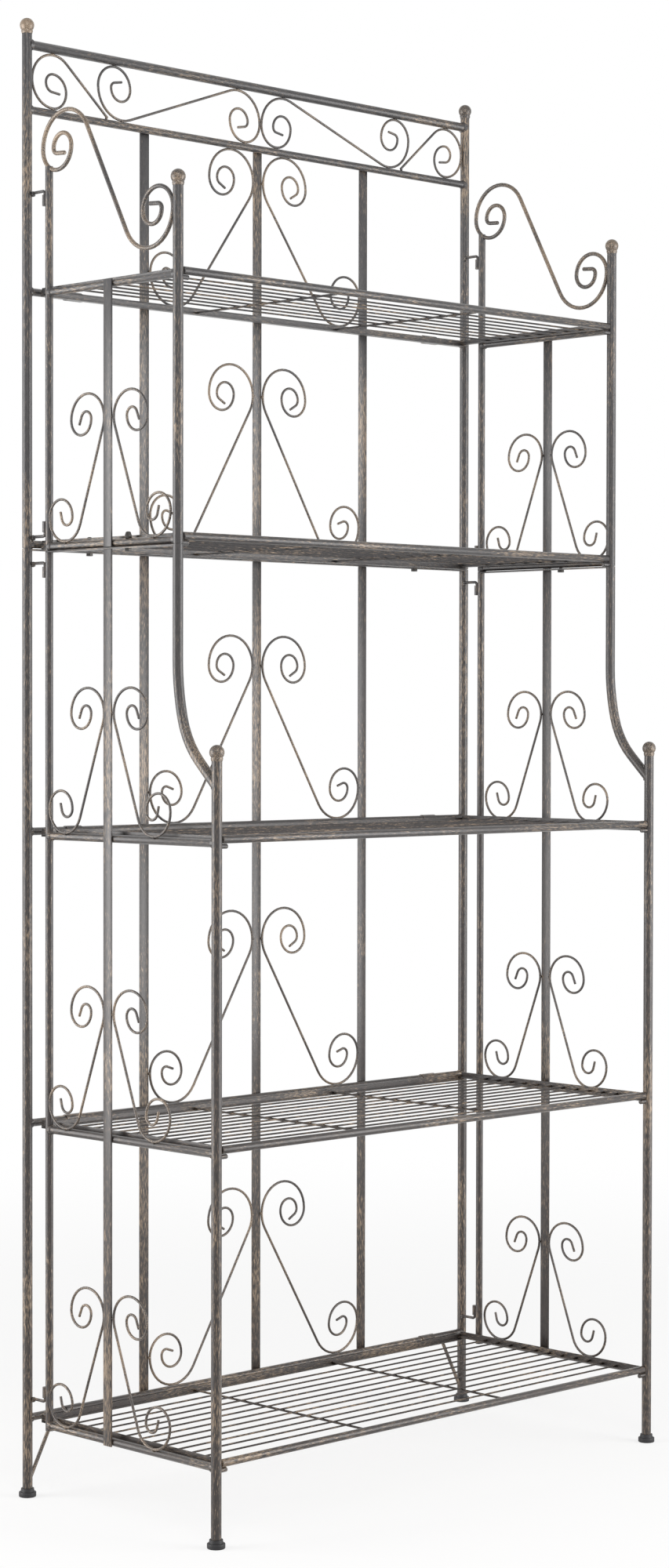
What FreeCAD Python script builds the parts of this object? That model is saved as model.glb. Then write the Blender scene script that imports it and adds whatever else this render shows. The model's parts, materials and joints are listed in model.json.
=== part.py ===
import FreeCAD, Part
import math
import os

# Folding five-shelf plant rack of welded steel tube, flat strap and scrolled wire.
# Millimetres. X runs along the width, the front faces -Y, and the floor is Z = 0.

# Plan, between the axes of the posts
BACK_POST_SPACING = 816.0
SIDE_PANEL_INSET = 4.5
REAR_POST_SETBACK = 39.0
UPPER_DEPTH = 286.0
SHOULDER_STEP = 71.0

# Levels of the back rails that carry the shelves, and of what stands above them
SHELF_1_LEVEL = 1551.0
SHELF_2_LEVEL = 1228.0
SHELF_3_LEVEL = 859.0
SHELF_4_LEVEL = 483.0
SHELF_5_LEVEL = 102.0
BACK_POST_TOP = 1883.5
TOP_RAIL_DROP = 17.5
FRIEZE_HEIGHT = 83.0
UPPER_FRONT_POST_TOP = 1657.5
LOWER_FRONT_POST_TOP = 957.5
SIDE_RAIL_DROP = 4.5
SIDE_POST_TAIL = 6.5

# Tube, bar and wire stock
POST_D = 13.0
POST_WALL = 1.2
RAIL_D = 10.0
RAIL_WALL = 1.0
TOP_RAIL_D = 12.0
STRAP_WIDTH = 15.0
STRAP_THICK = 2.5
JOINT_BAR_WIDTH = 12.0
JOINT_BAR_THICK = 2.0
SCROLL_D = 3.4
CREST_D = 5.5
BRACE_D = 5.0
SCROLL_SETBACK = 4.6
WELD_GAP = 0.05

# Back scrolls: radii from the outside of each curl inwards, turn of the last bend, straight stub at its end
STRAP_OFFSET = 204.5
BACK_TOP_CURL = (40.5, 22.7, 15.5, 9.0)
BACK_TOP_TIP_TURN = 60.0
BACK_TOP_STUB = 12.0
BACK_BOTTOM_CURL = (42.0, 28.0, 17.5, 7.5)
BACK_BOTTOM_TIP_TURN = 109.0
BACK_BOTTOM_STUB = 11.0
BACK_SCROLL_RISE = 218.0

# Side scrolls
SIDE_TOP_CURL = (32.0, 19.5, 9.8)
SIDE_TOP_TIP_TURN = 157.0
SIDE_TOP_STUB = 11.5
SIDE_BOTTOM_CURL = (31.0, 22.5, 10.6)
SIDE_BOTTOM_TIP_TURN = 165.0
SIDE_BOTTOM_STUB = 10.0
SIDE_SCROLL_RISE = 156.5

# Crest scroll on top of each side panel
CREST_CURL = (46.0, 28.0, 17.5, 7.0)
CREST_REAR_REACH = 34.0
CREST_FRONT_DROP = 28.5
CREST_RISE = 99.0
CREST_TIP_TURN = 86.0
CREST_STUB = 16.0

# Frieze scrolls between the two top rails
FRIEZE_CURL = 41.0
FRIEZE_INNER_CURL = (16.5, 7.0)
FRIEZE_TIP_TURN = 80.0
FRIEZE_STUB = 13.0
FRIEZE_SPAN = 206.0
FRIEZE_TAIL_REACH = 25.0
END_INNER_CURL = (22.0, 11.5)
END_TIP_TURN = 174.0
END_STUB = 13.0

# Curved shoulder of the side panels
SHOULDER_LONG_R = 290.0
SHOULDER_LONG_TURN = 14.0
SHOULDER_SHORT_R = 110.0
SHOULDER_SLOPE = 46.0
SHOULDER_DROP = 35.0

# Finials, feet, spigots and corner braces
FINIAL_D = 18.6
PLUG_LENGTH = 18.0
PLUG_CLEARANCE = 0.1
FOOT_D = 22.5
FOOT_FLANGE = 6.5
FOOT_COLLAR_D = 17.0
FOOT_HEIGHT = 11.0
FOOT_FLOOR = 3.0
FOOT_CHAMFER = 1.2
BRACE_REACH = 46.0
BRACE_FOOT_LEVEL = 15.0

# Bolted joint between the upper and lower units
JOINT_GAP = 0.8
BOLT_D = 5.0
BOLT_CLEARANCE = 0.2
BOLT_HEAD_FLATS = 8.0
BOLT_HEAD_THICK = 3.5
NUT_HEX_THICK = 4.5
NUT_DOME_D = 7.4
THREAD_CLEARANCE = 0.02
BACK_BOLT_TO_LOOP = 29.0
SIDE_BOLT_TO_STRAP = 31.5

# Lift-off hinges between the back posts and the side panels
HOOK_D = 4.0
HOOK_BEND_R = 4.0
HOOK_GAP = 1.0
PIN_CLEARANCE = 0.05
SLEEVE_D = 7.0
SLEEVE_LENGTH = 14.0
TOP_HOOK_DROP = 24.0
JOINT_HOOK_RISE = 18.5
JOINT_HOOK_DROP = 15.5
LOW_HOOK_RISE = 29.5

# Shelves
FRONT_TUBE_GAP = 0.5
SHELF_SIDE_GAP = 3.0
ANGLE_LEG = 8.0
ANGLE_THICK = 1.5
SIDE_ANGLE_TOP = 4.4
REAR_ANGLE_TOP = 1.4
WIRE_D = 2.4
CROSS_BAR_D = 3.0
WIRE_REAR_MARGIN = 64.0
WIRE_FRONT_MARGIN = 45.0
UPPER_WIRE_COUNT = 8
LOWER_WIRE_COUNT = 11
CROSS_BAR_OFFSET = 130.0
LOOP_WIDTH = 26.0
LOOP_THICK = 1.0
LOOP_CLEARANCE = 0.06
LOOP_REACH = 5.0
LOOP_ROOM = 0.2
LOOP_INSET = 61.0
PEG_D = 6.0
PEG_LENGTH = 10.0
PEG_GAP = 0.3

# Values that follow from the sizes above
LOWER_DEPTH = UPPER_DEPTH + SHOULDER_STEP
BACK_Y = LOWER_DEPTH / 2
BACK_X = BACK_POST_SPACING / 2
SIDE_X = BACK_X - SIDE_PANEL_INSET
POST_R = POST_D / 2
RAIL_R = RAIL_D / 2
SCROLL_R = SCROLL_D / 2
CREST_R = CREST_D / 2
POST_BORE_R = POST_R - POST_WALL
RAIL_BORE_R = RAIL_R - RAIL_WALL
TOP_RAIL_LEVEL = BACK_POST_TOP - TOP_RAIL_DROP
FRIEZE_RAIL_LEVEL = TOP_RAIL_LEVEL - FRIEZE_HEIGHT
UPPER_LEVELS = (SHELF_1_LEVEL, SHELF_2_LEVEL)
LOWER_LEVELS = (SHELF_3_LEVEL, SHELF_4_LEVEL, SHELF_5_LEVEL)
BACK_JOINT = SHELF_2_LEVEL - RAIL_R
SIDE_JOINT = SHELF_2_LEVEL - SIDE_RAIL_DROP - RAIL_R
HINGE_DEPTH = REAR_POST_SETBACK - RAIL_R - SLEEVE_D / 2
SIDE_STRAP_DEPTH = (REAR_POST_SETBACK + RAIL_R + UPPER_DEPTH - POST_R) / 2
SHELF_HALF = SIDE_X - POST_R - SHELF_SIDE_GAP
LOOP_X = SHELF_HALF - LOOP_INSET
REAR_ANGLE_DEPTH = RAIL_R + LOOP_THICK + LOOP_REACH
# The back joint bar lies low enough for the hinge loops of the shelf on the joint rail
BACK_BAR_GAP = LOOP_CLEARANCE + LOOP_THICK + LOOP_ROOM
# A scroll lies a little towards the strap, so it seats on the shoulder of the round rail
SCROLL_SEAT = math.sqrt((RAIL_R + SCROLL_R + WELD_GAP) ** 2 - SCROLL_SETBACK ** 2)
CREST_FRONT_LEVEL = UPPER_FRONT_POST_TOP - CREST_FRONT_DROP
CREST_REAR_LEVEL = CREST_FRONT_LEVEL + CREST_RISE


def on_back(x, z, behind=0.0):
    """Point of the back panel's plane."""
    return FreeCAD.Vector(x, BACK_Y + behind, z)


def on_side(depth, z, outside=0.0):
    """Point of the left side panel's plane, at a depth measured forwards from the back posts."""
    return FreeCAD.Vector(-SIDE_X - outside, BACK_Y - depth, z)


def rod(start, end, diameter):
    axis = end - start
    return Part.makeCylinder(diameter / 2, axis.Length, start, axis)


def tube(start, end, diameter, wall):
    return rod(start, end, diameter).cut(rod(start, end, diameter - 2 * wall))


def trimmed(shape, *cutters):
    """The largest solid left of a shape after its neighbours are cut away."""
    for cutter in cutters:
        shape = shape.cut(cutter)
    return max(shape.Solids, key=lambda solid: solid.Volume)


def box(low, high):
    size = high - low
    return Part.makeBox(size.x, size.y, size.z, low)


def swept(edges, diameter):
    """Round wire bent along a chain of tangent lines and arcs."""
    first = edges[0]
    start = first.valueAt(first.FirstParameter)
    heading = first.tangentAt(first.FirstParameter)
    section = Part.Wire(Part.makeCircle(diameter / 2, start, heading))
    return Part.Wire(edges).makePipeShell([section], True, False)


def turned(points, centre):
    """Solid of revolution about a vertical axis, from (radius, height) points."""
    ring = [centre + FreeCAD.Vector(radius, 0, height) for radius, height in points]
    face = Part.Face(Part.makePolygon(ring + ring[:1]))
    return face.revolve(centre, FreeCAD.Vector(0, 0, 1), 360)


def hexagon(centre, flats, height):
    radius = flats / math.sqrt(3)
    corners = [centre + FreeCAD.Vector(radius * math.cos(k * math.pi / 3), radius * math.sin(k * math.pi / 3), 0)
               for k in range(7)]
    return Part.Face(Part.makePolygon(corners)).extrude(FreeCAD.Vector(0, 0, height))


def mirrored(solids):
    return [solid.mirror(FreeCAD.Vector(0, 0, 0), FreeCAD.Vector(1, 0, 0)) for solid in solids]


# Scrolls are drawn in a panel's plane as (along, level) points; angles are in degrees.
# A path is a chain of arcs (centre, radius, start, end) and lines (start, end).

def polar(centre, radius, angle):
    turn = math.radians(angle)
    return (centre[0] + radius * math.cos(turn), centre[1] + radius * math.sin(turn))


def curl(centre, radii, start, end, turn, tip, stub):
    """Path that winds inwards: one outer arc, half circles, a last arc of tip degrees and a straight stub."""
    arcs = [(centre, radii[0], start, end)]
    angle = end
    for k in range(1, len(radii)):
        rim = polar(arcs[-1][0], radii[k - 1], angle)
        sweep = turn * (tip if k == len(radii) - 1 else 180.0)
        arcs.append((polar(rim, radii[k], angle + 180.0), radii[k], angle, angle + sweep))
        angle += sweep
    rim = polar(arcs[-1][0], radii[-1], angle)
    return arcs + [(rim, polar(rim, stub, angle + turn * 90.0))]


def backwards(path):
    return [move[::-1] if len(move) == 2 else (*move[:2], move[3], move[2]) for move in reversed(path)]


def arc_edge(place, arc):
    centre, radius, start, end = arc
    ends = [polar(centre, radius, angle) for angle in (start, (start + end) / 2, end)]
    return Part.Arc(*[place(*point) for point in ends]).toShape()


def line_edge(place, start, end):
    return Part.LineSegment(place(*start), place(*end)).toShape()


def bent_wire(place, path, diameter):
    edges = [line_edge(place, *move) if len(move) == 2 else arc_edge(place, move) for move in path]
    return swept(edges, diameter)


def joined_curls(place, first, second, diameter):
    """Wire that unwinds from the first curl, runs straight and winds into the second."""
    leg = (polar(*first[0][:3]), polar(*second[0][:3]))
    return bent_wire(place, backwards(first) + [leg] + second, diameter)


def tangent_angle(first, second, pull, side):
    """Direction of the radii that meet a common tangent; pull is the sum or difference of the radii."""
    along = (second[0] - first[0], second[1] - first[1])
    distance = math.hypot(*along)
    bearing = math.degrees(math.atan2(along[1], along[0]))
    return bearing + side * math.degrees(math.acos(pull / distance))


def leg_scroll(place, top, top_radii, top_tip, bottom, bottom_radii, bottom_tip):
    """Both curls on one side of a slanting leg, which touches the outside of each; tips are turn and stub."""
    angle = tangent_angle(top, bottom, top_radii[0] - bottom_radii[0], -1) + 360.0
    first = curl(top, top_radii, angle, 0.0, -1, *top_tip)
    second = curl(bottom, bottom_radii, angle, 360.0, 1, *bottom_tip)
    return joined_curls(place, first, second, SCROLL_D)


def scroll_pair(place, top, top_radii, top_tip, bottom, bottom_radii, bottom_tip):
    """Two leg scrolls, one each side of the strap at along = 0."""
    sides = (place, lambda along, level: place(-along, level))
    return [leg_scroll(side, top, top_radii, top_tip, bottom, bottom_radii, bottom_tip) for side in sides]


# Envelopes of the posts, which the rails are fitted to

def upright(point, top, diameter):
    return rod(point, FreeCAD.Vector(point.x, point.y, top), diameter)


BACK_POSTS = [upright(on_back(x, 0.0), BACK_POST_TOP, POST_D) for x in (-BACK_X, BACK_X)]
REAR_POST = upright(on_side(REAR_POST_SETBACK, 0.0), CREST_REAR_LEVEL, RAIL_D)
UPPER_FRONT_POST = upright(on_side(UPPER_DEPTH, LOWER_FRONT_POST_TOP), UPPER_FRONT_POST_TOP, POST_D)
LOWER_FRONT_POST = upright(on_side(LOWER_DEPTH, 0.0), LOWER_FRONT_POST_TOP, POST_D)


def finial(post_top):
    """Ball welded on the end of a post, with a stub inside the tube."""
    radius = FINIAL_D / 2
    seat = math.sqrt(radius ** 2 - POST_R ** 2)
    ball = Part.makeSphere(radius, post_top + FreeCAD.Vector(0, 0, seat))
    below = Part.makeCylinder(FINIAL_D, FINIAL_D, post_top, FreeCAD.Vector(0, 0, -1))
    stub = Part.makeCylinder(POST_BORE_R - PLUG_CLEARANCE, PLUG_LENGTH, post_top, FreeCAD.Vector(0, 0, -1))
    return ball.cut(below).fuse(stub).removeSplitter().Solids[0]


def foot(floor_point):
    """Moulded cup that the post stands in."""
    bore = POST_R + PLUG_CLEARANCE
    profile = [
        (0.0, 0.0),
        (FOOT_D / 2 - FOOT_CHAMFER, 0.0),
        (FOOT_D / 2, FOOT_CHAMFER),
        (FOOT_D / 2, FOOT_FLANGE - FOOT_CHAMFER),
        (FOOT_D / 2 - FOOT_CHAMFER, FOOT_FLANGE),
        (FOOT_COLLAR_D / 2, FOOT_FLANGE),
        (FOOT_COLLAR_D / 2, FOOT_HEIGHT),
        (bore, FOOT_HEIGHT),
        (bore, FOOT_FLOOR),
        (0.0, FOOT_FLOOR),
    ]
    return turned(profile, floor_point)


def spigot(joint, bore_radius):
    """Pin that lines up the two tubes of a post across the joint."""
    half = FreeCAD.Vector(0, 0, PLUG_LENGTH)
    return rod(joint - half, joint + half, 2 * (bore_radius - PLUG_CLEARANCE))


def bolt_and_nut(rail_top, bar_gap):
    """Hexagon bolt from below through a joint bar and a rail, with a domed nut on top."""
    head_top = rail_top.z - RAIL_D - bar_gap - JOINT_BAR_THICK
    under = FreeCAD.Vector(rail_top.x, rail_top.y, head_top)
    drop = FreeCAD.Vector(0, 0, -BOLT_HEAD_THICK)
    reach = rail_top + FreeCAD.Vector(0, 0, NUT_HEX_THICK)
    head = hexagon(under + drop, BOLT_HEAD_FLATS, BOLT_HEAD_THICK)
    bolt = head.fuse(rod(under, reach, BOLT_D)).removeSplitter().Solids[0]
    body = hexagon(rail_top, BOLT_HEAD_FLATS, NUT_HEX_THICK).fuse(Part.makeSphere(NUT_DOME_D / 2, reach))
    thread = rod(rail_top - FreeCAD.Vector(0, 0, NUT_DOME_D), reach, BOLT_D + 2 * THREAD_CLEARANCE)
    below = rod(rail_top - FreeCAD.Vector(0, 0, NUT_DOME_D), rail_top, 2 * NUT_DOME_D)
    return bolt, trimmed(body, below, thread)


def bolt_hole(rail_top):
    reach = FreeCAD.Vector(0, 0, 2 * RAIL_D + JOINT_BAR_THICK)
    return rod(rail_top - reach, rail_top + reach, BOLT_D + 2 * BOLT_CLEARANCE)


# Back panel

BACK_BOLTS = [on_back(side * (LOOP_X - BACK_BOLT_TO_LOOP), SHELF_2_LEVEL + RAIL_R) for side in (-1, 1)]


def back_posts(low, high):
    return [tube(on_back(x, low), on_back(x, high), POST_D, POST_WALL) for x in (-BACK_X, BACK_X)]


def back_rail(level, diameter=RAIL_D):
    rail = tube(on_back(-BACK_X, level), on_back(BACK_X, level), diameter, RAIL_WALL)
    return trimmed(rail, *BACK_POSTS)


def back_upper_rails():
    joint = trimmed(back_rail(SHELF_2_LEVEL), *[bolt_hole(top) for top in BACK_BOLTS])
    return [back_rail(TOP_RAIL_LEVEL, TOP_RAIL_D), back_rail(FRIEZE_RAIL_LEVEL), back_rail(SHELF_1_LEVEL), joint]


def back_lower_rails():
    half = JOINT_BAR_WIDTH / 2
    top = BACK_JOINT - BACK_BAR_GAP
    bar = box(on_back(-BACK_X, top - JOINT_BAR_THICK, -half), on_back(BACK_X, top, half))
    bar = trimmed(bar, *BACK_POSTS, *[bolt_hole(point) for point in BACK_BOLTS])
    return [bar] + [back_rail(level) for level in LOWER_LEVELS]


def back_straps():
    """Three flat uprights behind the rails of each unit."""
    spans = (
        (BACK_JOINT, FRIEZE_RAIL_LEVEL),
        (SHELF_5_LEVEL - RAIL_R, BACK_JOINT - BACK_BAR_GAP - JOINT_BAR_THICK),
    )
    half = STRAP_WIDTH / 2
    return [box(on_back(x - half, low, RAIL_R), on_back(x + half, high, RAIL_R + STRAP_THICK))
            for low, high in spans for x in (-STRAP_OFFSET, 0.0, STRAP_OFFSET)]


def back_scrolls():
    def place(along, level):
        return on_back(along, level, SCROLL_SETBACK)

    edge = STRAP_WIDTH / 2 + SCROLL_R + WELD_GAP
    top_x = edge + BACK_TOP_CURL[0]
    bottom_x = STRAP_OFFSET - edge - BACK_BOTTOM_CURL[0]
    scrolls = []
    for rail in UPPER_LEVELS + LOWER_LEVELS:
        top = rail + BACK_SCROLL_RISE
        if rail == SHELF_1_LEVEL:
            top = FRIEZE_RAIL_LEVEL - SCROLL_SEAT - BACK_TOP_CURL[0]
        bottom = rail + SCROLL_SEAT + BACK_BOTTOM_CURL[0]
        scrolls += scroll_pair(place, (top_x, top), BACK_TOP_CURL, (BACK_TOP_TIP_TURN, BACK_TOP_STUB),
                               (bottom_x, bottom), BACK_BOTTOM_CURL, (BACK_BOTTOM_TIP_TURN, BACK_BOTTOM_STUB))
    return scrolls


def frieze_scrolls():
    """On each half: an S scroll from the middle, then a curl with a tail against the post."""
    low = FRIEZE_RAIL_LEVEL + RAIL_R + SCROLL_R + WELD_GAP
    high = TOP_RAIL_LEVEL - TOP_RAIL_D / 2 - SCROLL_R - WELD_GAP
    radii = (FRIEZE_CURL, high - low - FRIEZE_CURL) + FRIEZE_INNER_CURL
    middle = (SCROLL_R + WELD_GAP + FRIEZE_CURL, high - FRIEZE_CURL)
    far = (middle[0] + FRIEZE_SPAN, low + FRIEZE_CURL)
    lean = tangent_angle(middle, far, 2 * FRIEZE_CURL, 1)
    inner = curl(middle, radii, lean, 180.0, 1, FRIEZE_TIP_TURN, FRIEZE_STUB)
    outer = curl(far, radii, lean + 180.0, 360.0, 1, FRIEZE_TIP_TURN, FRIEZE_STUB)

    end_radius = (high - low) / 2
    end = (BACK_X - POST_R - SCROLL_R - WELD_GAP - end_radius, (high + low) / 2)
    tail = (far[0] + FRIEZE_TAIL_REACH, low)
    touch = tangent_angle(end, tail, end_radius, -1) + 360.0
    end_curl = curl(end, (end_radius,) + END_INNER_CURL, touch, -90.0, -1, END_TIP_TURN, END_STUB)

    halves = []
    for side in (-1, 1):
        def place(along, level, side=side):
            return on_back(side * along, level)

        halves.append(joined_curls(place, inner, outer, SCROLL_D))
        halves.append(bent_wire(place, [(tail, polar(end, end_radius, touch))] + end_curl, SCROLL_D))
    return halves


def back_braces():
    """Short rods that stiffen the bottom corners, from the lowest rail to the post above the foot."""
    rail = rod(on_back(-BACK_X, SHELF_5_LEVEL), on_back(BACK_X, SHELF_5_LEVEL), RAIL_D)
    return [trimmed(rod(on_back(side * (BACK_X - BRACE_REACH), SHELF_5_LEVEL),
                        on_back(side * BACK_X, BRACE_FOOT_LEVEL), BRACE_D), rail, *BACK_POSTS)
            for side in (-1, 1)]


# Lift-off hinges: level of each hook's arm, and the way its pin points

HOOKS = (
    (CREST_REAR_LEVEL - TOP_HOOK_DROP - CREST_CURL[1], -1),
    (SIDE_JOINT + JOINT_HOOK_RISE, 1),
    (SIDE_JOINT - JOINT_HOOK_DROP, -1),
    (SHELF_5_LEVEL - SIDE_RAIL_DROP + LOW_HOOK_RISE, 1),
)


def hinge_hooks():
    """L-shaped pins on the left back post."""
    hooks = []
    for level, way in HOOKS:
        bend = HINGE_DEPTH - HOOK_BEND_R
        centre = (bend, level + way * HOOK_BEND_R)
        tip = centre[1] + way * (HOOK_GAP + SLEEVE_LENGTH)
        edges = [
            line_edge(on_side, (0.0, level), (bend, level)),
            arc_edge(on_side, (centre, HOOK_BEND_R, -90.0 * way, 0.0)),
            line_edge(on_side, (HINGE_DEPTH, centre[1]), (HINGE_DEPTH, tip)),
        ]
        hooks.append(trimmed(swept(edges, HOOK_D), BACK_POSTS[0]))
    return hooks


def hinge_sleeves():
    """Short sleeves behind the left rear post that turn on the hooks."""
    wall = SLEEVE_D / 2 - HOOK_D / 2 - PIN_CLEARANCE
    sleeves = []
    for level, way in HOOKS:
        near = level + way * (HOOK_BEND_R + HOOK_GAP)
        sleeves.append(tube(on_side(HINGE_DEPTH, near), on_side(HINGE_DEPTH, near + way * SLEEVE_LENGTH),
                            SLEEVE_D, wall))
    return sleeves


# Left side panel; the right one is its mirror image

SIDE_BOLT = on_side(SIDE_STRAP_DEPTH + SIDE_BOLT_TO_STRAP, SHELF_2_LEVEL - SIDE_RAIL_DROP + RAIL_R)


def crest_scroll():
    """Thick S scroll that joins the top of the rear post to the front post."""
    radius = CREST_CURL[0]
    rear = (REAR_POST_SETBACK + CREST_REAR_REACH, CREST_REAR_LEVEL)
    front = (UPPER_DEPTH - POST_R - CREST_R - WELD_GAP - radius, CREST_FRONT_LEVEL)
    lean = tangent_angle(rear, front, 2 * radius, 1)
    first = curl(rear, CREST_CURL, lean, 180.0, 1, CREST_TIP_TURN, CREST_STUB)
    second = curl(front, CREST_CURL, lean + 180.0, 360.0, 1, CREST_TIP_TURN, CREST_STUB)
    return joined_curls(on_side, first, second, CREST_D)


def shoulder_edges():
    """Centre line of the curved tube, from the joint down to the axis of the lower front post."""
    foot_level = LOWER_FRONT_POST_TOP - SHOULDER_DROP
    long_turn, slope = math.radians(SHOULDER_LONG_TURN), math.radians(SHOULDER_SLOPE)
    long_step = SHOULDER_LONG_R * (1 - math.cos(long_turn))
    long_fall = SHOULDER_LONG_R * math.sin(long_turn)
    short_step = SHOULDER_SHORT_R * (math.cos(long_turn) - math.cos(slope))
    short_fall = SHOULDER_SHORT_R * (math.sin(slope) - math.sin(long_turn))
    straight_step = SHOULDER_STEP - long_step - short_step
    bend = foot_level + straight_step / math.tan(slope) + short_fall + long_fall
    long_centre = (UPPER_DEPTH + SHOULDER_LONG_R, bend)
    shift = SHOULDER_LONG_R - SHOULDER_SHORT_R
    short_centre = (long_centre[0] - shift * math.cos(long_turn), bend - shift * math.sin(long_turn))
    turn_end = 180.0 + SHOULDER_LONG_TURN
    slope_end = 180.0 + SHOULDER_SLOPE
    return [
        line_edge(on_side, (UPPER_DEPTH, SIDE_JOINT - JOINT_GAP), (UPPER_DEPTH, bend)),
        arc_edge(on_side, (long_centre, SHOULDER_LONG_R, 180.0, turn_end)),
        arc_edge(on_side, (short_centre, SHOULDER_SHORT_R, turn_end, slope_end)),
        line_edge(on_side, polar(short_centre, SHOULDER_SHORT_R, slope_end), (LOWER_DEPTH, foot_level)),
    ]


def shoulder():
    edges = shoulder_edges()
    return trimmed(swept(edges, POST_D), swept(edges, 2 * POST_BORE_R), LOWER_FRONT_POST)


def rear_posts(crest):
    low = SHELF_5_LEVEL - SIDE_RAIL_DROP - SIDE_POST_TAIL
    # The upper post ends where the crest's second arc crosses its axis, and is fitted to the wire
    across = CREST_REAR_REACH - CREST_CURL[0] + CREST_CURL[1]
    high = CREST_REAR_LEVEL - math.sqrt(CREST_CURL[1] ** 2 - across ** 2)
    upper = tube(on_side(REAR_POST_SETBACK, SIDE_JOINT), on_side(REAR_POST_SETBACK, high), RAIL_D, RAIL_WALL)
    lower = tube(on_side(REAR_POST_SETBACK, low), on_side(REAR_POST_SETBACK, SIDE_JOINT - JOINT_GAP),
                 RAIL_D, RAIL_WALL)
    return [trimmed(upper, crest), lower]


def front_posts():
    upper = tube(on_side(UPPER_DEPTH, SIDE_JOINT), on_side(UPPER_DEPTH, UPPER_FRONT_POST_TOP), POST_D, POST_WALL)
    lower = tube(on_side(LOWER_DEPTH, FOOT_FLOOR), on_side(LOWER_DEPTH, LOWER_FRONT_POST_TOP), POST_D, POST_WALL)
    return [upper, lower]


def side_rails():
    rails = []
    for levels, depth, post in ((UPPER_LEVELS, UPPER_DEPTH, UPPER_FRONT_POST),
                                (LOWER_LEVELS, LOWER_DEPTH, LOWER_FRONT_POST)):
        for level in levels:
            height = level - SIDE_RAIL_DROP
            rail = tube(on_side(REAR_POST_SETBACK, height), on_side(depth, height), RAIL_D, RAIL_WALL)
            rails.append(trimmed(rail, REAR_POST, post, bolt_hole(SIDE_BOLT)))
    half = JOINT_BAR_WIDTH / 2
    top = SIDE_JOINT - JOINT_GAP
    bar = box(on_side(UPPER_DEPTH, top - JOINT_BAR_THICK, half), on_side(REAR_POST_SETBACK, top, -half))
    return rails + [trimmed(bar, REAR_POST, UPPER_FRONT_POST, bolt_hole(SIDE_BOLT))]


def side_straps():
    """Flat upright on the outside of the rails, one to each unit."""
    half = STRAP_WIDTH / 2
    spans = (
        (SIDE_JOINT, SHELF_1_LEVEL - SIDE_RAIL_DROP + RAIL_R),
        (SHELF_5_LEVEL - SIDE_RAIL_DROP - RAIL_R, SIDE_JOINT - JOINT_GAP - JOINT_BAR_THICK),
    )
    return [box(on_side(SIDE_STRAP_DEPTH + half, low, RAIL_R + STRAP_THICK),
                on_side(SIDE_STRAP_DEPTH - half, high, RAIL_R)) for low, high in spans]


def side_scrolls():
    def place(along, level):
        return on_side(SIDE_STRAP_DEPTH + along, level, SCROLL_SETBACK)

    top_along = STRAP_WIDTH / 2 + SCROLL_R + WELD_GAP + SIDE_TOP_CURL[0]
    reach = SIDE_STRAP_DEPTH - REAR_POST_SETBACK - RAIL_R
    bottom_along = reach - SCROLL_R - WELD_GAP - SIDE_BOTTOM_CURL[0]
    scrolls = []
    for level in UPPER_LEVELS[1:] + LOWER_LEVELS:
        rail = level - SIDE_RAIL_DROP
        bottom = rail + SCROLL_SEAT + SIDE_BOTTOM_CURL[0]
        scrolls += scroll_pair(place, (top_along, rail + SIDE_SCROLL_RISE), SIDE_TOP_CURL,
                               (SIDE_TOP_TIP_TURN, SIDE_TOP_STUB), (bottom_along, bottom), SIDE_BOTTOM_CURL,
                               (SIDE_BOTTOM_TIP_TURN, SIDE_BOTTOM_STUB))
    return scrolls


def shelf_pegs():
    """Pegs on the inner faces of the front posts, which carry the front tubes of the shelves."""
    pegs = []
    for levels, depth, post in ((UPPER_LEVELS, UPPER_DEPTH, UPPER_FRONT_POST),
                                (LOWER_LEVELS, LOWER_DEPTH, LOWER_FRONT_POST)):
        for level in levels:
            height = level - RAIL_R - PEG_GAP - PEG_D / 2
            peg = rod(on_side(depth, height), on_side(depth, height, -POST_R - PEG_LENGTH), PEG_D)
            pegs.append(trimmed(peg, post))
    return pegs


def side_panel():
    """Nodes of the left side panel, by the name that follows the side."""
    crest = crest_scroll()
    return {
        "rear_posts": rear_posts(crest),
        "front_posts": front_posts(),
        "shoulder": [shoulder()],
        "finials": [finial(on_side(UPPER_DEPTH, UPPER_FRONT_POST_TOP)),
                    finial(on_side(LOWER_DEPTH, LOWER_FRONT_POST_TOP))],
        "foot": [foot(on_side(LOWER_DEPTH, 0.0))],
        "spigots": [spigot(on_side(UPPER_DEPTH, SIDE_JOINT), POST_BORE_R),
                    spigot(on_side(REAR_POST_SETBACK, SIDE_JOINT), RAIL_BORE_R)],
        "rails": side_rails(),
        "straps": side_straps(),
        "scrolls": side_scrolls(),
        "crest": [crest],
        "hinge_sleeves": hinge_sleeves(),
        "shelf_pegs": shelf_pegs(),
        "joint_bolt": list(bolt_and_nut(SIDE_BOLT, JOINT_GAP)),
    }


# Shelves, each hinged on a back rail

def shelf_angle(level):
    """Rear angle bar, with its leg at the back and its flange forwards at the bottom."""
    top = level + REAR_ANGLE_TOP
    leg = box(on_back(-SHELF_HALF, top - ANGLE_LEG, -REAR_ANGLE_DEPTH - ANGLE_THICK),
              on_back(SHELF_HALF, top, -REAR_ANGLE_DEPTH))
    flange = box(on_back(-SHELF_HALF, top - ANGLE_LEG, -REAR_ANGLE_DEPTH - ANGLE_LEG),
                 on_back(SHELF_HALF, top - ANGLE_LEG + ANGLE_THICK, -REAR_ANGLE_DEPTH))
    return leg.fuse(flange).removeSplitter().Solids[0]


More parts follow.
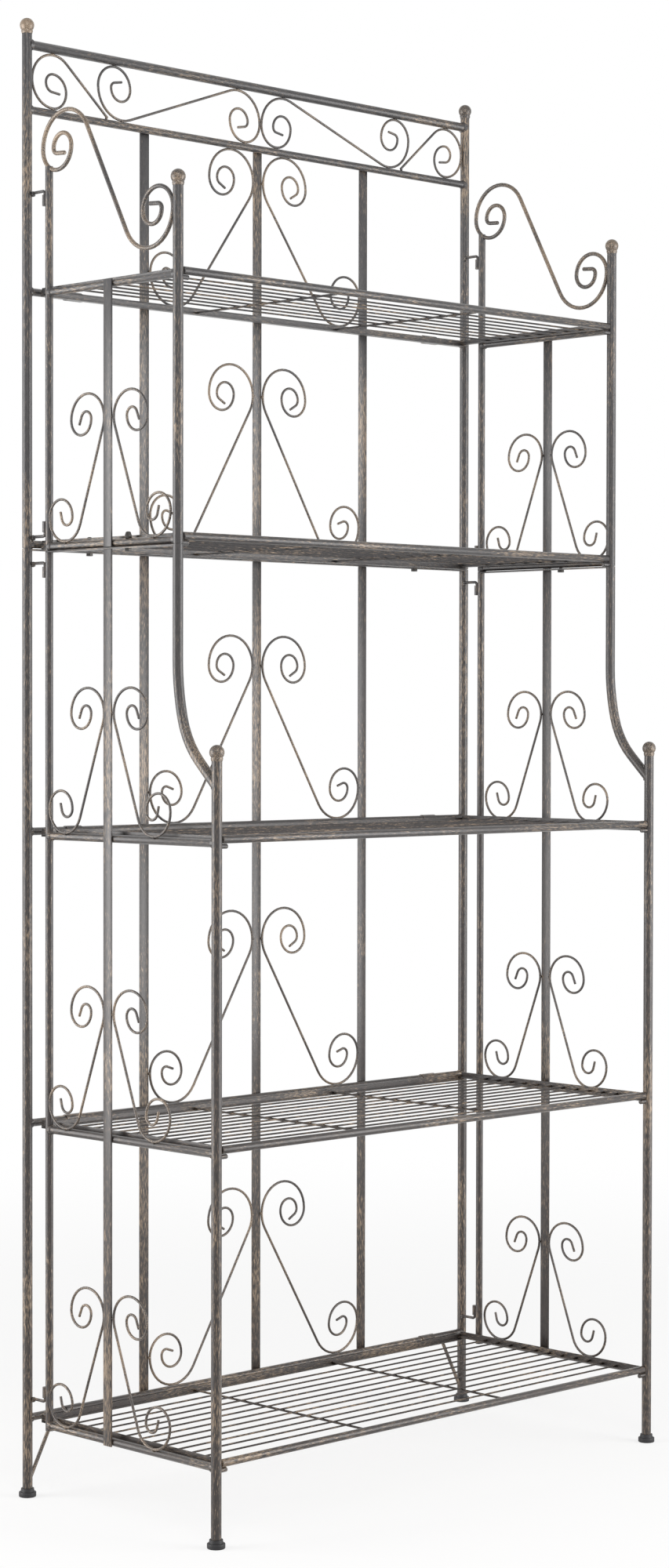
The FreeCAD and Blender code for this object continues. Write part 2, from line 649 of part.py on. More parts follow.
def shelf_side_angle(level, depth, rear, front):
    """Left end angle bar, with its leg outside and its flange inwards under the wires."""
    top = level + SIDE_ANGLE_TOP
    near, far = -REAR_ANGLE_DEPTH, RAIL_R / 2 - depth
    leg = box(on_back(-SHELF_HALF, top - ANGLE_LEG, far), on_back(-SHELF_HALF + ANGLE_THICK, top, near))
    flange = box(on_back(-SHELF_HALF, top - ANGLE_LEG, far),
                 on_back(-SHELF_HALF + ANGLE_LEG, top - ANGLE_LEG + ANGLE_THICK, near))
    bar = leg.fuse(flange).removeSplitter()
    behind = box(on_back(-BACK_X, level - POST_D, -REAR_ANGLE_DEPTH - ANGLE_THICK), on_back(0.0, level + POST_D, 0.0))
    return trimmed(bar, rear, front, behind)


def shelf_grille(level, depth, wires, rear, front):
    """Long wires on the flanges of the end bars, over two cross bars that lie on the rear bar's flange."""
    wire_level = level + SIDE_ANGLE_TOP - ANGLE_LEG + ANGLE_THICK + WIRE_D / 2
    half = SHELF_HALF - ANGLE_THICK
    pitch = (depth - WIRE_REAR_MARGIN - WIRE_FRONT_MARGIN) / (wires - 1)
    grille = []
    for k in range(wires):
        behind = -WIRE_REAR_MARGIN - k * pitch
        grille.append(rod(on_back(-half, wire_level, behind), on_back(half, wire_level, behind), WIRE_D))
    bar_level = wire_level - (WIRE_D + CROSS_BAR_D) / 2
    for x in (-CROSS_BAR_OFFSET, CROSS_BAR_OFFSET):
        bar = rod(on_back(x, bar_level, -REAR_ANGLE_DEPTH - ANGLE_THICK), on_back(x, bar_level, -depth),
                  CROSS_BAR_D)
        grille.append(trimmed(bar, rear, front))
    return grille


def hinge_loops(level):
    """Straps wrapped round the back rail, each with a leaf that meets the rear angle bar."""
    outer = RAIL_R + LOOP_CLEARANCE + LOOP_THICK
    loops = []
    for x in (-LOOP_X, LOOP_X):
        ends = on_back(x - LOOP_WIDTH / 2, level), on_back(x + LOOP_WIDTH / 2, level)
        leaf = box(on_back(x - LOOP_WIDTH / 2, level - outer, -REAR_ANGLE_DEPTH),
                   on_back(x + LOOP_WIDTH / 2, level - outer + LOOP_THICK))
        bore = rod(*ends, RAIL_D + 2 * LOOP_CLEARANCE)
        loops.append(trimmed(rod(*ends, 2 * outer).fuse(leaf), bore))
    return loops


def shelf(level, depth, wires):
    half = SIDE_X - POST_R - FRONT_TUBE_GAP
    ends = on_back(-half, level, -depth), on_back(half, level, -depth)
    front = rod(*ends, RAIL_D)
    rear = shelf_angle(level)
    left = shelf_side_angle(level, depth, rear, front)
    return {
        "front_tube": [tube(*ends, RAIL_D, RAIL_WALL)],
        "frame": [rear, left] + mirrored([left]),
        "grille": shelf_grille(level, depth, wires, rear, front),
        "hinge_loops": hinge_loops(level),
    }


def rack():
    """Every node of the rack and its solids."""
    bolts = [bolt_and_nut(top, BACK_BAR_GAP) for top in BACK_BOLTS]
    hooks = hinge_hooks()
    nodes = {
        "back_upper_posts": back_posts(BACK_JOINT, BACK_POST_TOP),
        "back_lower_posts": back_posts(FOOT_FLOOR, BACK_JOINT - JOINT_GAP),
        "back_finials": [finial(on_back(x, BACK_POST_TOP)) for x in (-BACK_X, BACK_X)],
        "back_feet": [foot(on_back(x, 0.0)) for x in (-BACK_X, BACK_X)],
        "back_spigots": [spigot(on_back(x, BACK_JOINT), POST_BORE_R) for x in (-BACK_X, BACK_X)],
        "back_upper_rails": back_upper_rails(),
        "back_lower_rails": back_lower_rails(),
        "back_straps": back_straps(),
        "back_scrolls": back_scrolls(),
        "frieze_scrolls": frieze_scrolls(),
        "back_braces": back_braces(),
        "hinge_hooks": hooks + mirrored(hooks),
        "back_joint_bolts": [piece for pair in bolts for piece in pair],
    }
    for name, solids in side_panel().items():
        nodes["left_" + name] = solids
        nodes["right_" + name] = mirrored(solids)
    for number, level in enumerate(UPPER_LEVELS + LOWER_LEVELS, 1):
        upper = level in UPPER_LEVELS
        pieces = shelf(level, UPPER_DEPTH if upper else LOWER_DEPTH, UPPER_WIRE_COUNT if upper else LOWER_WIRE_COUNT)
        for name, solids in pieces.items():
            nodes[f"shelf_{number}_{name}"] = solids
    return nodes


os.makedirs("parts", exist_ok=True)
for node, solids in rack().items():
    Part.makeCompound(solids).exportStep(f"parts/{node}.step")
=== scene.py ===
import json
import math

import bmesh
import bpy
from bpy.props import FloatProperty, IntProperty, PointerProperty, StringProperty
from mathutils import Matrix, Vector


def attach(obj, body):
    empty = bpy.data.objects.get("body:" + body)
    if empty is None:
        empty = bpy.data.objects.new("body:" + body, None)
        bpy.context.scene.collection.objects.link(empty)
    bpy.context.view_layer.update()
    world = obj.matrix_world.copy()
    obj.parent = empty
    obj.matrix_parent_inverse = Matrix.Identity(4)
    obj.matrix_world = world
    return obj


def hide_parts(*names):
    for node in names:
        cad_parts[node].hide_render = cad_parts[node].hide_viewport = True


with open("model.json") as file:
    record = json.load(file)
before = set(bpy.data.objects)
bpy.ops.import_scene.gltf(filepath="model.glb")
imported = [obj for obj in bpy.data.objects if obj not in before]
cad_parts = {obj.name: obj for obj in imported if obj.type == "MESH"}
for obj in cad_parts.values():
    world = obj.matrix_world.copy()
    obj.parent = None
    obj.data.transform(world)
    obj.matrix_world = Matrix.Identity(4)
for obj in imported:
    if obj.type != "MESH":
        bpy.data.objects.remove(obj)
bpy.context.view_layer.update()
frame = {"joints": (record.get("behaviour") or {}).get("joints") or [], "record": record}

bl_info = {
    "name": "Scrolled plant rack",
    "version": (1, 0, 0),
    "blender": (4, 5, 0),
    "location": "3D View > Sidebar > Plant rack",
    "description": "Models a folding plant rack of painted steel tube, strap and scrolled wire",
    "category": "Add Mesh",
}

# Hinge lines of the packed frame give the shelf levels and the planes of the panels
JOINTS = {joint["name"]: joint["pos_m"] for joint in frame["joints"]}
LEVELS = [JOINTS[f"shelf_{number}_fold"][2] for number in range(1, 6)]
UPPER, LOWER, LOWEST = LEVELS[:2], LEVELS[2:], LEVELS[4]
BACK_Y = JOINTS["shelf_1_fold"][1]
SIDE_X, HINGE_Y = JOINTS["right_panel_swing"][:2]
HINGE_DEPTH = BACK_Y - HINGE_Y
BODY_OF = {node: body for body, nodes in frame["record"]["behaviour"]["bodies"].items() for node in nodes}

UP = Vector((0.0, 0.0, 1.0))
# Axes that wire of the back panel and of the left panel is bent about
BACK_TURN, SIDE_TURN = (0.0, -1.0, 0.0), (-1.0, 0.0, 0.0)
# A rail's end flares into its weld in two steps, each a run and a swell, and reaches into the post by a share
WELD_STEPS = ((0.0012, 1.09), (0.0010, 1.16))
WELD_LENGTH = 0.0022
WELD_REACH = 0.75
# How far a tack weld sinks into what it sits on
BITE = 0.001
MOUTH_DEPTH = 0.008
# Roundings: shares of a tube's and a wire's diameter and of an angle bar's thickness, and flat bars' edges
TUBE_ROUND, WIRE_ROUND, ANGLE_ROUND, BAR_EDGE = 0.16, 0.18, 0.22, 0.0005
# Proportions of a tack weld, and how uneven it is
LUMP, LUMP_UNEVEN = (1.0, 0.78, 0.66), 0.05
# Grains to the metre: the coat's grit, 1.1 mm, the feet's scuffs, 6 mm, and mould texture, 0.7 mm, and the
# clouds of the bolts' oxide, 2.4 mm. Real grit and mould texture are finer, and are drawn coarser to show.
GRIT, SCUFFS, MOULD_TEXTURE, CLOUDS = 900.0, 160.0, 1400.0, 420.0
# How much more bronze is rubbed on bent wire, on the crests and on the balls
WIRE_RUB, CREST_RUB, BALL_RUB = 0.06, 0.10, 0.13
# Angles up to which curls and bolts are shaded smooth, in degrees
CURL_SMOOTH, BOLT_SMOOTH = 60.0, 30.0
NEAR = 1e-5


def length(label, text, metres):
    return FloatProperty(name=label, description=text, default=metres, min=0.0, subtype="DISTANCE",
                         unit="LENGTH")


def shade(label, text, hex_value):
    return StringProperty(name=label, description=text + ", as an sRGB hex value", default=hex_value)


class RackFrameSizes(bpy.types.PropertyGroup):
    """Tubes, bars and posts"""

    post: length("Post diameter", "Outside diameter of the main posts", 0.013)
    wall: length("Tube wall", "Wall of the tubes where an end is open", 0.0012)
    rail: length("Rail diameter", "Outside diameter of rails and rear side posts", 0.010)
    top_rail: length("Top rail diameter", "Outside diameter of the topmost back rail", 0.012)
    half_width: length("Half width", "From the middle to the axis of a back post", 0.408)
    upper_depth: length("Upper depth", "From the back posts to the upper front posts", 0.286)
    lower_depth: length("Lower depth", "From the back posts to the lower front posts", 0.357)
    rear_setback: length("Rear post setback", "From a back post to the side panel's rear post", 0.039)
    rear_top: length("Rear post top", "Level of the top of the rear side posts", 1.7062)
    rear_below: length("Rear post end", "How far rear side posts run below the lowest rail", 0.0065)
    side_drop: length("Side rail drop", "How far side rails lie below the back rails", 0.0045)
    post_foot: length("Post foot", "Level of the bottom of the posts, inside the feet", 0.004)
    back_top: length("Back post top", "Level of the top of the back posts", 1.8835)
    top_level: length("Top rail level", "Level of the topmost back rail", 1.866)
    frieze_level: length("Frieze rail level", "Level of the rail under the frieze", 1.783)
    upper_front_top: length("Upper front post top", "Level of the top of the upper front posts", 1.6575)
    lower_front_top: length("Lower front post top", "Level of the top of the lower front posts", 0.9575)
    joint_gap: length("Joint gap", "Gap between the posts of the two units", 0.0008)
    strap_width: length("Strap width", "Width of the flat uprights", 0.015)
    strap_thick: length("Strap thickness", "Thickness of the flat uprights", 0.0025)
    strap_offset: length("Strap offset", "From the middle strap to the outer ones", 0.2045)
    bar_width: length("Joint bar width", "Width of the flat bars at the joint", 0.012)
    bar_thick: length("Joint bar thickness", "Thickness of the flat bars at the joint", 0.002)
    bar_gap: length("Joint bar gap", "Room for hinge loops between the joint rail and its bar", 0.00126)
    finial: length("Finial diameter", "Diameter of the ball ends", 0.0186)
    foot: length("Foot diameter", "Widest part of the moulded feet", 0.0225)


class RackScrollSizes(bpy.types.PropertyGroup):
    """Bent wire and its welds"""

    wire: length("Scroll wire", "Diameter of the scroll wire", 0.0034)
    crest: length("Crest rod", "Diameter of the crest scroll", 0.0055)
    setback: length("Scroll setback", "How far scrolls lie behind the rails, towards the straps", 0.0046)
    bead: length("Weld bead", "Length of a tack weld", 0.0052)
    arc_step: FloatProperty(name="Arc step", description="Turn of one segment of a bend",
                            default=math.radians(10), min=0.01, subtype="ANGLE", unit="ROTATION")


class RackHardwareSizes(bpy.types.PropertyGroup):
    """Hinges, braces, spigots, bolts and pegs"""

    hook: length("Hook wire", "Diameter of the hinge hooks", 0.004)
    hook_bend: length("Hook bend", "Radius of a hook's bend", 0.004)
    hook_pin: length("Hook pin", "Straight length of a hook's pin", 0.0148)
    hook_bead: length("Hook weld", "Length of the welds of the hooks", 0.0068)
    hook_top: length("Top hook level", "Level of the topmost hooks", 1.676)
    sleeve: length("Sleeve diameter", "Outside diameter of the hinge sleeves", 0.007)
    sleeve_wall: length("Sleeve wall", "Wall of the hinge sleeves", 0.0014)
    sleeve_long: length("Sleeve length", "Length of the hinge sleeves", 0.014)
    sleeve_gap: length("Sleeve gap", "From a hook's bend to its sleeve", 0.001)
    brace: length("Brace diameter", "Diameter of the corner braces", 0.005)
    brace_reach: length("Brace reach", "From a back post to the top of its brace", 0.046)
    brace_foot: length("Brace foot", "Level where a brace meets its post", 0.015)
    brace_into: length("Brace inset", "From a post's axis to the weld of its brace", 0.009)
    spigot: length("Spigot diameter", "Diameter of the pins in the main posts", 0.0104)
    thin_spigot: length("Thin spigot", "Diameter of the pins in the rear side posts", 0.0078)
    spigot_reach: length("Spigot reach", "How far a spigot runs into each post", 0.018)
    bolt_offset: length("Bolt offset", "From the middle to the bolts of the back", 0.304)
    side_bolt: length("Side bolt offset", "From a side panel's strap forwards to its bolt", 0.0315)
    hexagon: length("Hexagon", "From the middle to a corner of a bolt head or nut", 0.00462)
    peg: length("Peg diameter", "Diameter of the shelf pegs", 0.006)
    peg_reach: length("Peg reach", "How far a peg stands out of its post", 0.010)
    peg_drop: length("Peg drop", "From a front tube's underside down to its peg's axis", 0.0033)


class RackShelfSizes(bpy.types.PropertyGroup):
    """Wire shelves"""

    wire: length("Shelf wire", "Diameter of the shelf wires", 0.0024)
    cross: length("Cross bar", "Diameter of the bars under the wires", 0.003)
    cross_offset: length("Cross bar offset", "From the middle to a cross bar", 0.130)
    rear_margin: length("Rear margin", "From the back rail to the first wire", 0.064)
    front_margin: length("Front margin", "From the last wire to the front tube", 0.045)
    upper_count: IntProperty(name="Upper wires", description="Wires of each upper shelf", default=8, min=2)
    lower_count: IntProperty(name="Lower wires", description="Wires of each lower shelf", default=11, min=2)
    leg: length("Angle leg", "Leg of the angle bars", 0.008)
    thick: length("Angle thickness", "Thickness of the angle bars", 0.0015)
    rear_depth: length("Rear bar depth", "From the back rail's axis to the rear angle bar", 0.011)
    rear_rise: length("Rear bar rise", "From the back rail's axis up to the top of the rear bar", 0.0014)
    end_rise: length("End bar rise", "From the back rail's axis up to the top of the end bars", 0.0044)
    half: length("Half length", "From the middle to the outside of an end bar", 0.394)
    loop: length("Loop width", "Width of the hinge loops", 0.026)
    loop_thick: length("Loop thickness", "Thickness of the hinge loops", 0.001)
    loop_inset: length("Loop inset", "From a shelf's end to the middle of its hinge loop", 0.061)


class RackFinish(bpy.types.PropertyGroup):
    """Colours and the sizes of the paint's pattern"""

    # Charcoal and umber are blended by height in the coat: painted light, greyer at the top for the light
    # from above and browner at the bottom as a painted warm reflection of the floor
    charcoal: shade("Charcoal", "Coat at the top of the rack", "#353334")
    umber: shade("Umber", "Coat at the bottom of the rack", "#352d29")
    hollow: shade("Hollow", "Coat in the hollows of its texture", "#191717")
    bronze: shade("Bronze", "Rubbed-on bronze", "#9e8972")
    foot: shade("Foot", "Moulded feet", "#171618")
    bolt: shade("Bolt", "Blackened bolts and nuts", "#4c4a48")
    streak: length("Streak length", "Length of a brush streak along a tube", 0.009)
    speck: length("Speck width", "Width of a brush streak", 0.0011)
    patch: length("Patch length", "Length of a stretch with more or less bronze", 0.16)


class RackStage(bpy.types.PropertyGroup):
    """Floor, light and camera"""

    floor: shade("Floor", "Pale floor", "#f4f3f2")
    radius: length("Floor radius", "Where the floor has faded out", 3.2)
    key: FloatProperty(name="Key light", description="Power of the main lamp", default=40.0, min=0.0,
                       unit="POWER")
    strip: FloatProperty(name="Strip lights", description="Power of each tall side lamp", default=62.0,
                         min=0.0, unit="POWER")
    sky: FloatProperty(name="Sky", description="Strength of the light from all round", default=0.5, min=0.0)
    lens: FloatProperty(name="Lens", description="Focal length for a 36 mm long side", default=72.33,
                        unit="CAMERA")


# Placing and selecting

def back_point(x, z, behind=0.0):
    return Vector((x, BACK_Y + behind, z))


def side_point(depth, z, outside=0.0):
    """Point of the left panel, at a depth forwards of the back posts."""
    return Vector((-SIDE_X - outside, BACK_Y - depth, z))


def fresh():
    """Back to object mode with nothing selected."""
    if bpy.context.mode != "OBJECT":
        bpy.ops.object.mode_set(mode="OBJECT")
    bpy.ops.object.select_all(action="DESELECT")


def pick_only(*pieces):
    fresh()
    for piece in pieces:
        piece.select_set(True)
    bpy.context.view_layer.objects.active = pieces[0]


def open_mesh(whole=False):
    """Settles the new piece's place into its mesh and opens it for editing, with nothing or all selected."""
    bpy.ops.object.transform_apply(location=True, rotation=True, scale=True)
    bpy.ops.object.mode_set(mode="EDIT")
    bpy.ops.mesh.select_mode(type="VERT")
    bpy.ops.mesh.select_all(action="SELECT" if whole else "DESELECT")
    return bpy.context.object


def select_faces(piece, wanted):
    bpy.ops.mesh.select_mode(type="FACE")
    bpy.ops.mesh.select_all(action="DESELECT")
    mesh = bmesh.from_edit_mesh(piece.data)
    for face in mesh.faces:
        face.select_set(wanted(face))
    bmesh.update_edit_mesh(piece.data)


def select_points(piece, wanted):
    bpy.ops.mesh.select_mode(type="VERT")
    bpy.ops.mesh.select_all(action="DESELECT")
    mesh = bmesh.from_edit_mesh(piece.data)
    for point in mesh.verts:
        point.select_set(wanted(point.co))
    mesh.select_flush(True)
    bmesh.update_edit_mesh(piece.data)


def pull(move):
    bpy.ops.mesh.extrude_region_move(TRANSFORM_OT_translate={"value": move})


def swell(share, centre):
    bpy.ops.transform.resize(value=(share, share, share), center_override=centre)


def soften(offset, segments):
    bpy.ops.mesh.bevel(offset=offset, segments=segments, affect="EDGES")


def close_mesh(piece):
    bpy.ops.mesh.select_all(action="SELECT")
    bpy.ops.mesh.normals_make_consistent(inside=False)
    bpy.ops.object.mode_set(mode="OBJECT")
    return piece


def copy_of(piece, move=(0.0, 0.0, 0.0), mirror=False):
    """A copy with its own mesh, moved, or mirrored about the middle of the rack."""
    pick_only(piece)
    bpy.ops.object.duplicate()
    twin = bpy.context.object
    bpy.ops.object.mode_set(mode="EDIT")
    bpy.ops.mesh.select_all(action="SELECT")
    if mirror:
        bpy.ops.transform.resize(value=(-1.0, 1.0, 1.0), center_override=(0.0, 0.0, 0.0))
        bpy.ops.mesh.flip_normals()
    bpy.ops.transform.translate(value=move)
    bpy.ops.object.mode_set(mode="OBJECT")
    return twin


def both_sides(pieces):
    """The pieces and their mirror images."""
    return pieces + [copy_of(piece, mirror=True) for piece in pieces]


def repeated(piece, count, step):
    """The piece and its copies at an even step, as one mesh."""
    pick_only(piece)
    array = piece.modifiers.new("copies", "ARRAY")
    array.count = count
    array.use_relative_offset = False
    array.use_constant_offset = True
    array.constant_offset_displace = step
    bpy.ops.object.modifier_apply(modifier=array.name)
    return piece


# Making the stock: tube, strap, bent wire, weld beads

def tube(start, end, diameter, first="cut", last="cut", into=0.0, wall=None, sides=24):
    """Round tube between two points. An end is cut off plain, open at its mouth, rounded, or flared into a
    weld at the surface of the post that it runs into, whose radius is into."""
    fresh()
    along = (end - start).normalized()
    low = start + along * (into + WELD_LENGTH) * (first == "weld")
    high = end - along * (into + WELD_LENGTH) * (last == "weld")
    bpy.ops.mesh.primitive_cylinder_add(vertices=sides, radius=diameter / 2, depth=(high - low).length,
                                        location=(low + high) / 2,
                                        rotation=along.to_track_quat("Z", "Y").to_euler())
    piece = open_mesh()
    for point, out, kind in ((low, -along, first), (high, along, last)):
        select_faces(piece, lambda face: len(face.verts) == sides
                     and (face.calc_center_median() - point).length < NEAR)
        if kind == "mouth":
            bpy.ops.mesh.inset(thickness=wall or bpy.context.scene.rack_frame.wall)
            pull(out * -MOUTH_DEPTH)
        elif kind == "round":
            soften(diameter * TUBE_ROUND, 3)
        elif kind == "weld":
            for run, share in WELD_STEPS:
                pull(out * run)
                point = point + out * run
                swell(share, point)
            pull(out * into * WELD_REACH)
    return close_mesh(piece)


def block(low, high):
    """Block between two corners, open for editing and selected all over."""
    fresh()
    bpy.ops.mesh.primitive_cube_add(size=1.0, location=(low + high) / 2, scale=high - low)
    return open_mesh(whole=True)


def bar(low, high):
    """Flat bar between two corners, with its edges broken."""
    piece = block(low, high)
    soften(BAR_EDGE, 2)
    return close_mesh(piece)


def angle_bar(low, high, flange, thick):
    """Bar whose bottom edge is drawn out into a flange, as rolled angle is."""
    piece = block(low, high)
    level = low.z + thick
    bpy.ops.mesh.bisect(plane_co=(0.0, 0.0, level), plane_no=UP)
    way = flange.normalized()
    select_faces(piece, lambda face: face.normal.dot(way) > 0.9 and face.calc_center_median().z < level)
    pull(flange)
    select_faces(piece, lambda face: True)
    soften(thick * ANGLE_ROUND, 1)
    return close_mesh(piece)


def bent(place, turn_axis, path, diameter, sides=12, tips=True):
    """Wire bent along lines (start, end) and arcs (centre, radius, start, end), all drawn in a plane."""
    step = bpy.context.scene.rack_scrolls.arc_step
    begin, ahead = path_start(path[0])
    origin = place(*begin)
    heading = place(begin[0] + ahead[0], begin[1] + ahead[1]) - origin
    fresh()
    bpy.ops.mesh.primitive_circle_add(vertices=sides, radius=diameter / 2, fill_type="NOTHING",
                                      location=origin, rotation=heading.to_track_quat("Z", "Y").to_euler())
    piece = open_mesh(whole=True)
    for move in path:
        if len(move) == 2:
            pull(place(*move[1]) - place(*move[0]))
        else:
            sweep = math.radians(move[3] - move[2])
            bpy.ops.mesh.spin(steps=max(5, math.ceil(abs(sweep) / step)), angle=-sweep,
                              center=place(*move[0]), axis=turn_axis)
    cap_ring(diameter, tips)
    # The first ring is what lies within just over a radius of the start
    select_points(piece, lambda co: (co - origin).length < diameter * 0.51)
    cap_ring(diameter, tips)
    return close_mesh(piece)


def cap_ring(diameter, rounded):
    bpy.ops.mesh.edge_face_add()
    if rounded:
        soften(diameter * WIRE_ROUND, 2)


def path_start(move):
    """Where a path's first move starts, and its heading there."""
    if len(move) == 2:
        run = Vector(move[1]) - Vector(move[0])
        return move[0], run.normalized()
    centre, radius, start, end = move
    sign = 1.0 if end > start else -1.0
    turn = math.radians(start)
    return polar(centre, radius, start), (-sign * math.sin(turn), sign * math.cos(turn))


def beads(points, size):
    """Tack welds: small uneven lumps where two pieces meet."""
    fresh()
    bpy.ops.mesh.primitive_uv_sphere_add(segments=10, ring_count=6, radius=size / 2)
    first = open_mesh(whole=True)
    bpy.ops.transform.resize(value=LUMP, center_override=(0.0, 0.0, 0.0))
    bpy.ops.transform.vertex_random(offset=size * LUMP_UNEVEN, seed=3)
    close_mesh(first)
    lumps = [copy_of(first, point) for point in points]
    bpy.data.objects.remove(first)
    return lumps


# Scroll geometry: curls of arcs that shrink inwards to a straight stub, joined by a tangent leg. Angles are
# in degrees, and a tip is the turn of a curl's last bend and the length of its stub.

def polar(centre, radius, angle):
    turn = math.radians(angle)
    return (centre[0] + radius * math.cos(turn), centre[1] + radius * math.sin(turn))


def curl(centre, radii, start, end, turn, tip):
    arcs = [(centre, radii[0], start, end)]
    angle = end
    for number in range(1, len(radii)):
        rim = polar(arcs[-1][0], radii[number - 1], angle)
        sweep = turn * (tip[0] if number == len(radii) - 1 else 180.0)
        arcs.append((polar(rim, radii[number], angle + 180.0), radii[number], angle, angle + sweep))
        angle += sweep
    rim = polar(arcs[-1][0], radii[-1], angle)
    return arcs + [(rim, polar(rim, tip[1], angle + turn * 90.0))]


def tangent_angle(first, second, difference, side):
    """Direction of the radii that meet a common tangent of two circles."""
    run = Vector(second) - Vector(first)
    return math.degrees(math.atan2(run.y, run.x)) + side * math.degrees(math.acos(difference / run.length))


def unwound(first, second):
    """Path out of the first curl, along the leg and into the second curl."""
    path = [move[::-1] if len(move) == 2 else (*move[:2], move[3], move[2]) for move in reversed(first)]
    path.append((polar(*first[0][:3]), polar(*second[0][:3])))
    return path + second


def leg_path(top, top_radii, top_tip, bottom, bottom_radii, bottom_tip):
    """Both curls on one side of the leg."""
    angle = tangent_angle(top, bottom, top_radii[0] - bottom_radii[0], -1) + 360.0
    return unwound(curl(top, top_radii, angle, 0.0, -1, top_tip),
                   curl(bottom, bottom_radii, angle, 360.0, 1, bottom_tip))


def s_path(first, second, radii, tip):
    """Like curls on opposite sides of the leg."""
    angle = tangent_angle(first, second, 2 * radii[0], 1)
    return unwound(curl(first, radii, angle, 180.0, 1, tip),
                   curl(second, radii, angle + 180.0, 360.0, 1, tip))


# Finishes

def linear(hex_value):
    """sRGB hex to linear colour."""
    parts = [int(hex_value[k:k + 2], 16) / 255 for k in (1, 3, 5)]
    return [part / 12.92 if part <= 0.04045 else ((part + 0.055) / 1.055) ** 2.4 for part in parts] + [1.0]


def node(tree, kind, inputs=(), **settings):
    """Adds a node with its settings; inputs pairs a socket with a value or with another node's output."""
    made = tree.nodes.new(kind)
    for key, value in settings.items():
        setattr(made, key, value)
    for socket, value in dict(inputs).items():
        if isinstance(value, bpy.types.NodeSocket):
            tree.links.new(value, made.inputs[socket])
        else:
            made.inputs[socket].default_value = value
    return made


def direct_rays(tree):
    """1 for rays from the camera, in reflections and through clear pieces, so that all of these see white."""
    rays = node(tree, "ShaderNodeLightPath").outputs
    most = rays["Is Camera Ray"]
    for kind in ("Is Glossy Ray", "Is Transmission Ray"):
        most = node(tree, "ShaderNodeMath", {0: most, 1: rays[kind]}, operation="MAXIMUM").outputs["Value"]
    return most


def material_called(name):
    """The material of this name and its node tree, which is empty if the material is new."""
    material = bpy.data.materials.get(name)
    if material is None:
        material = bpy.data.materials.new(name)
        material.use_nodes = True
        material.node_tree.nodes.clear()
    return material, material.node_tree


def painted_steel(grain, lacquer=0.8, rub=0.0):
    """Powder-coated steel: a dark paint under a clear lacquer that draws pale lines along the edges of tubes
    and is thin on wire, with painted light graded into its tone: greyer high up for the light from above,
    browner low down as a painted warm reflection of the floor. Fine flecks of bronze are rubbed on along the
    piece. The grain gives the flecks' direction; balls and bent wire get an even speckle."""
    name = f"Powder-coated steel, bronze rub, {grain}, {'lacquered' if lacquer > 0.5 else 'dull'}"
    name += f", rub {rub}" if rub else ""
    material, tree = material_called(name)
    if len(tree.nodes):
        return material
    look = bpy.context.scene.rack_finish
    along = {"upright": (0, 0, 1), "crosswise": (1, 0, 0), "fore and aft": (0, 1, 0),
             "curled": (0, 0, 0)}[grain]
    place = node(tree, "ShaderNodeTexCoord").outputs["Object"]
    fine = [1 / (look.streak if axis else look.speck) for axis in along]
    broad = [1 / (look.patch if axis else look.patch / 3) for axis in along]
    streaks = node(tree, "ShaderNodeTexNoise", {
        "Vector": node(tree, "ShaderNodeMapping", {"Vector": place, "Scale": fine}).outputs["Vector"],
        "Scale": 1.0, "Detail": 4.0, "Roughness": 0.62}).outputs["Fac"]
    patches = node(tree, "ShaderNodeTexNoise", {
        "Vector": node(tree, "ShaderNodeMapping", {"Vector": place, "Scale": broad}).outputs["Vector"],
        "Scale": 1.0, "Detail": 2.0}).outputs["Fac"]
    # Painted light: the coat's tone runs from umber at the bottom to charcoal at the top, greyer high up for
    # the light from above and browner low down as a painted warm reflection of the floor
    height = node(tree, "ShaderNodeSeparateXYZ", {"Vector": place}).outputs["Z"]
    rise = node(tree, "ShaderNodeMapRange", {"Value": height, "From Min": 0.1, "From Max": 1.5})
    tone_with_painted_height_light = node(tree, "ShaderNodeMix", {
        "Factor": rise.outputs["Result"], "A": linear(look.umber), "B": linear(look.charcoal)},
        data_type="RGBA")
    # Hollows of the coat are a little darker
    even = node(tree, "ShaderNodeMapRange", {"Value": streaks, "From Min": 0.3, "From Max": 0.55})
    mottled = node(tree, "ShaderNodeMix", {
        "Factor": even.outputs["Result"], "A": linear(look.hollow), "B": tone_with_painted_height_light.outputs["Result"]},
        data_type="RGBA")
    # Bronze catches on the crowns of the coat, more in a rubbed patch
    both = node(tree, "ShaderNodeMath", {0: patches, 1: 0.5, 2: streaks}, operation="MULTIPLY_ADD")
    rubbed = node(tree, "ShaderNodeMapRange", {
        "Value": both.outputs["Value"], "From Min": 0.77 - rub, "From Max": 0.99 - rub, "To Max": 0.8},
        interpolation_type="SMOOTHSTEP")
    colour = node(tree, "ShaderNodeMix", {
        "Factor": rubbed.outputs["Result"], "A": mottled.outputs["Result"], "B": linear(look.bronze)},
        data_type="RGBA")
    grit = node(tree, "ShaderNodeTexNoise", {"Vector": place, "Scale": GRIT, "Detail": 2.0}).outputs["Fac"]
    bump = node(tree, "ShaderNodeBump", {"Height": grit, "Strength": 0.1, "Distance": 0.0004})
    shader = node(tree, "ShaderNodeBsdfPrincipled", {
        "Base Color": colour.outputs["Result"], "Roughness": 0.46, "Metallic": 0.25,
        "Specular IOR Level": 0.25, "Coat Weight": lacquer, "Coat Roughness": 0.36,
        "Normal": bump.outputs["Normal"]})
    node(tree, "ShaderNodeOutputMaterial", {"Surface": shader.outputs["BSDF"]})
    return material


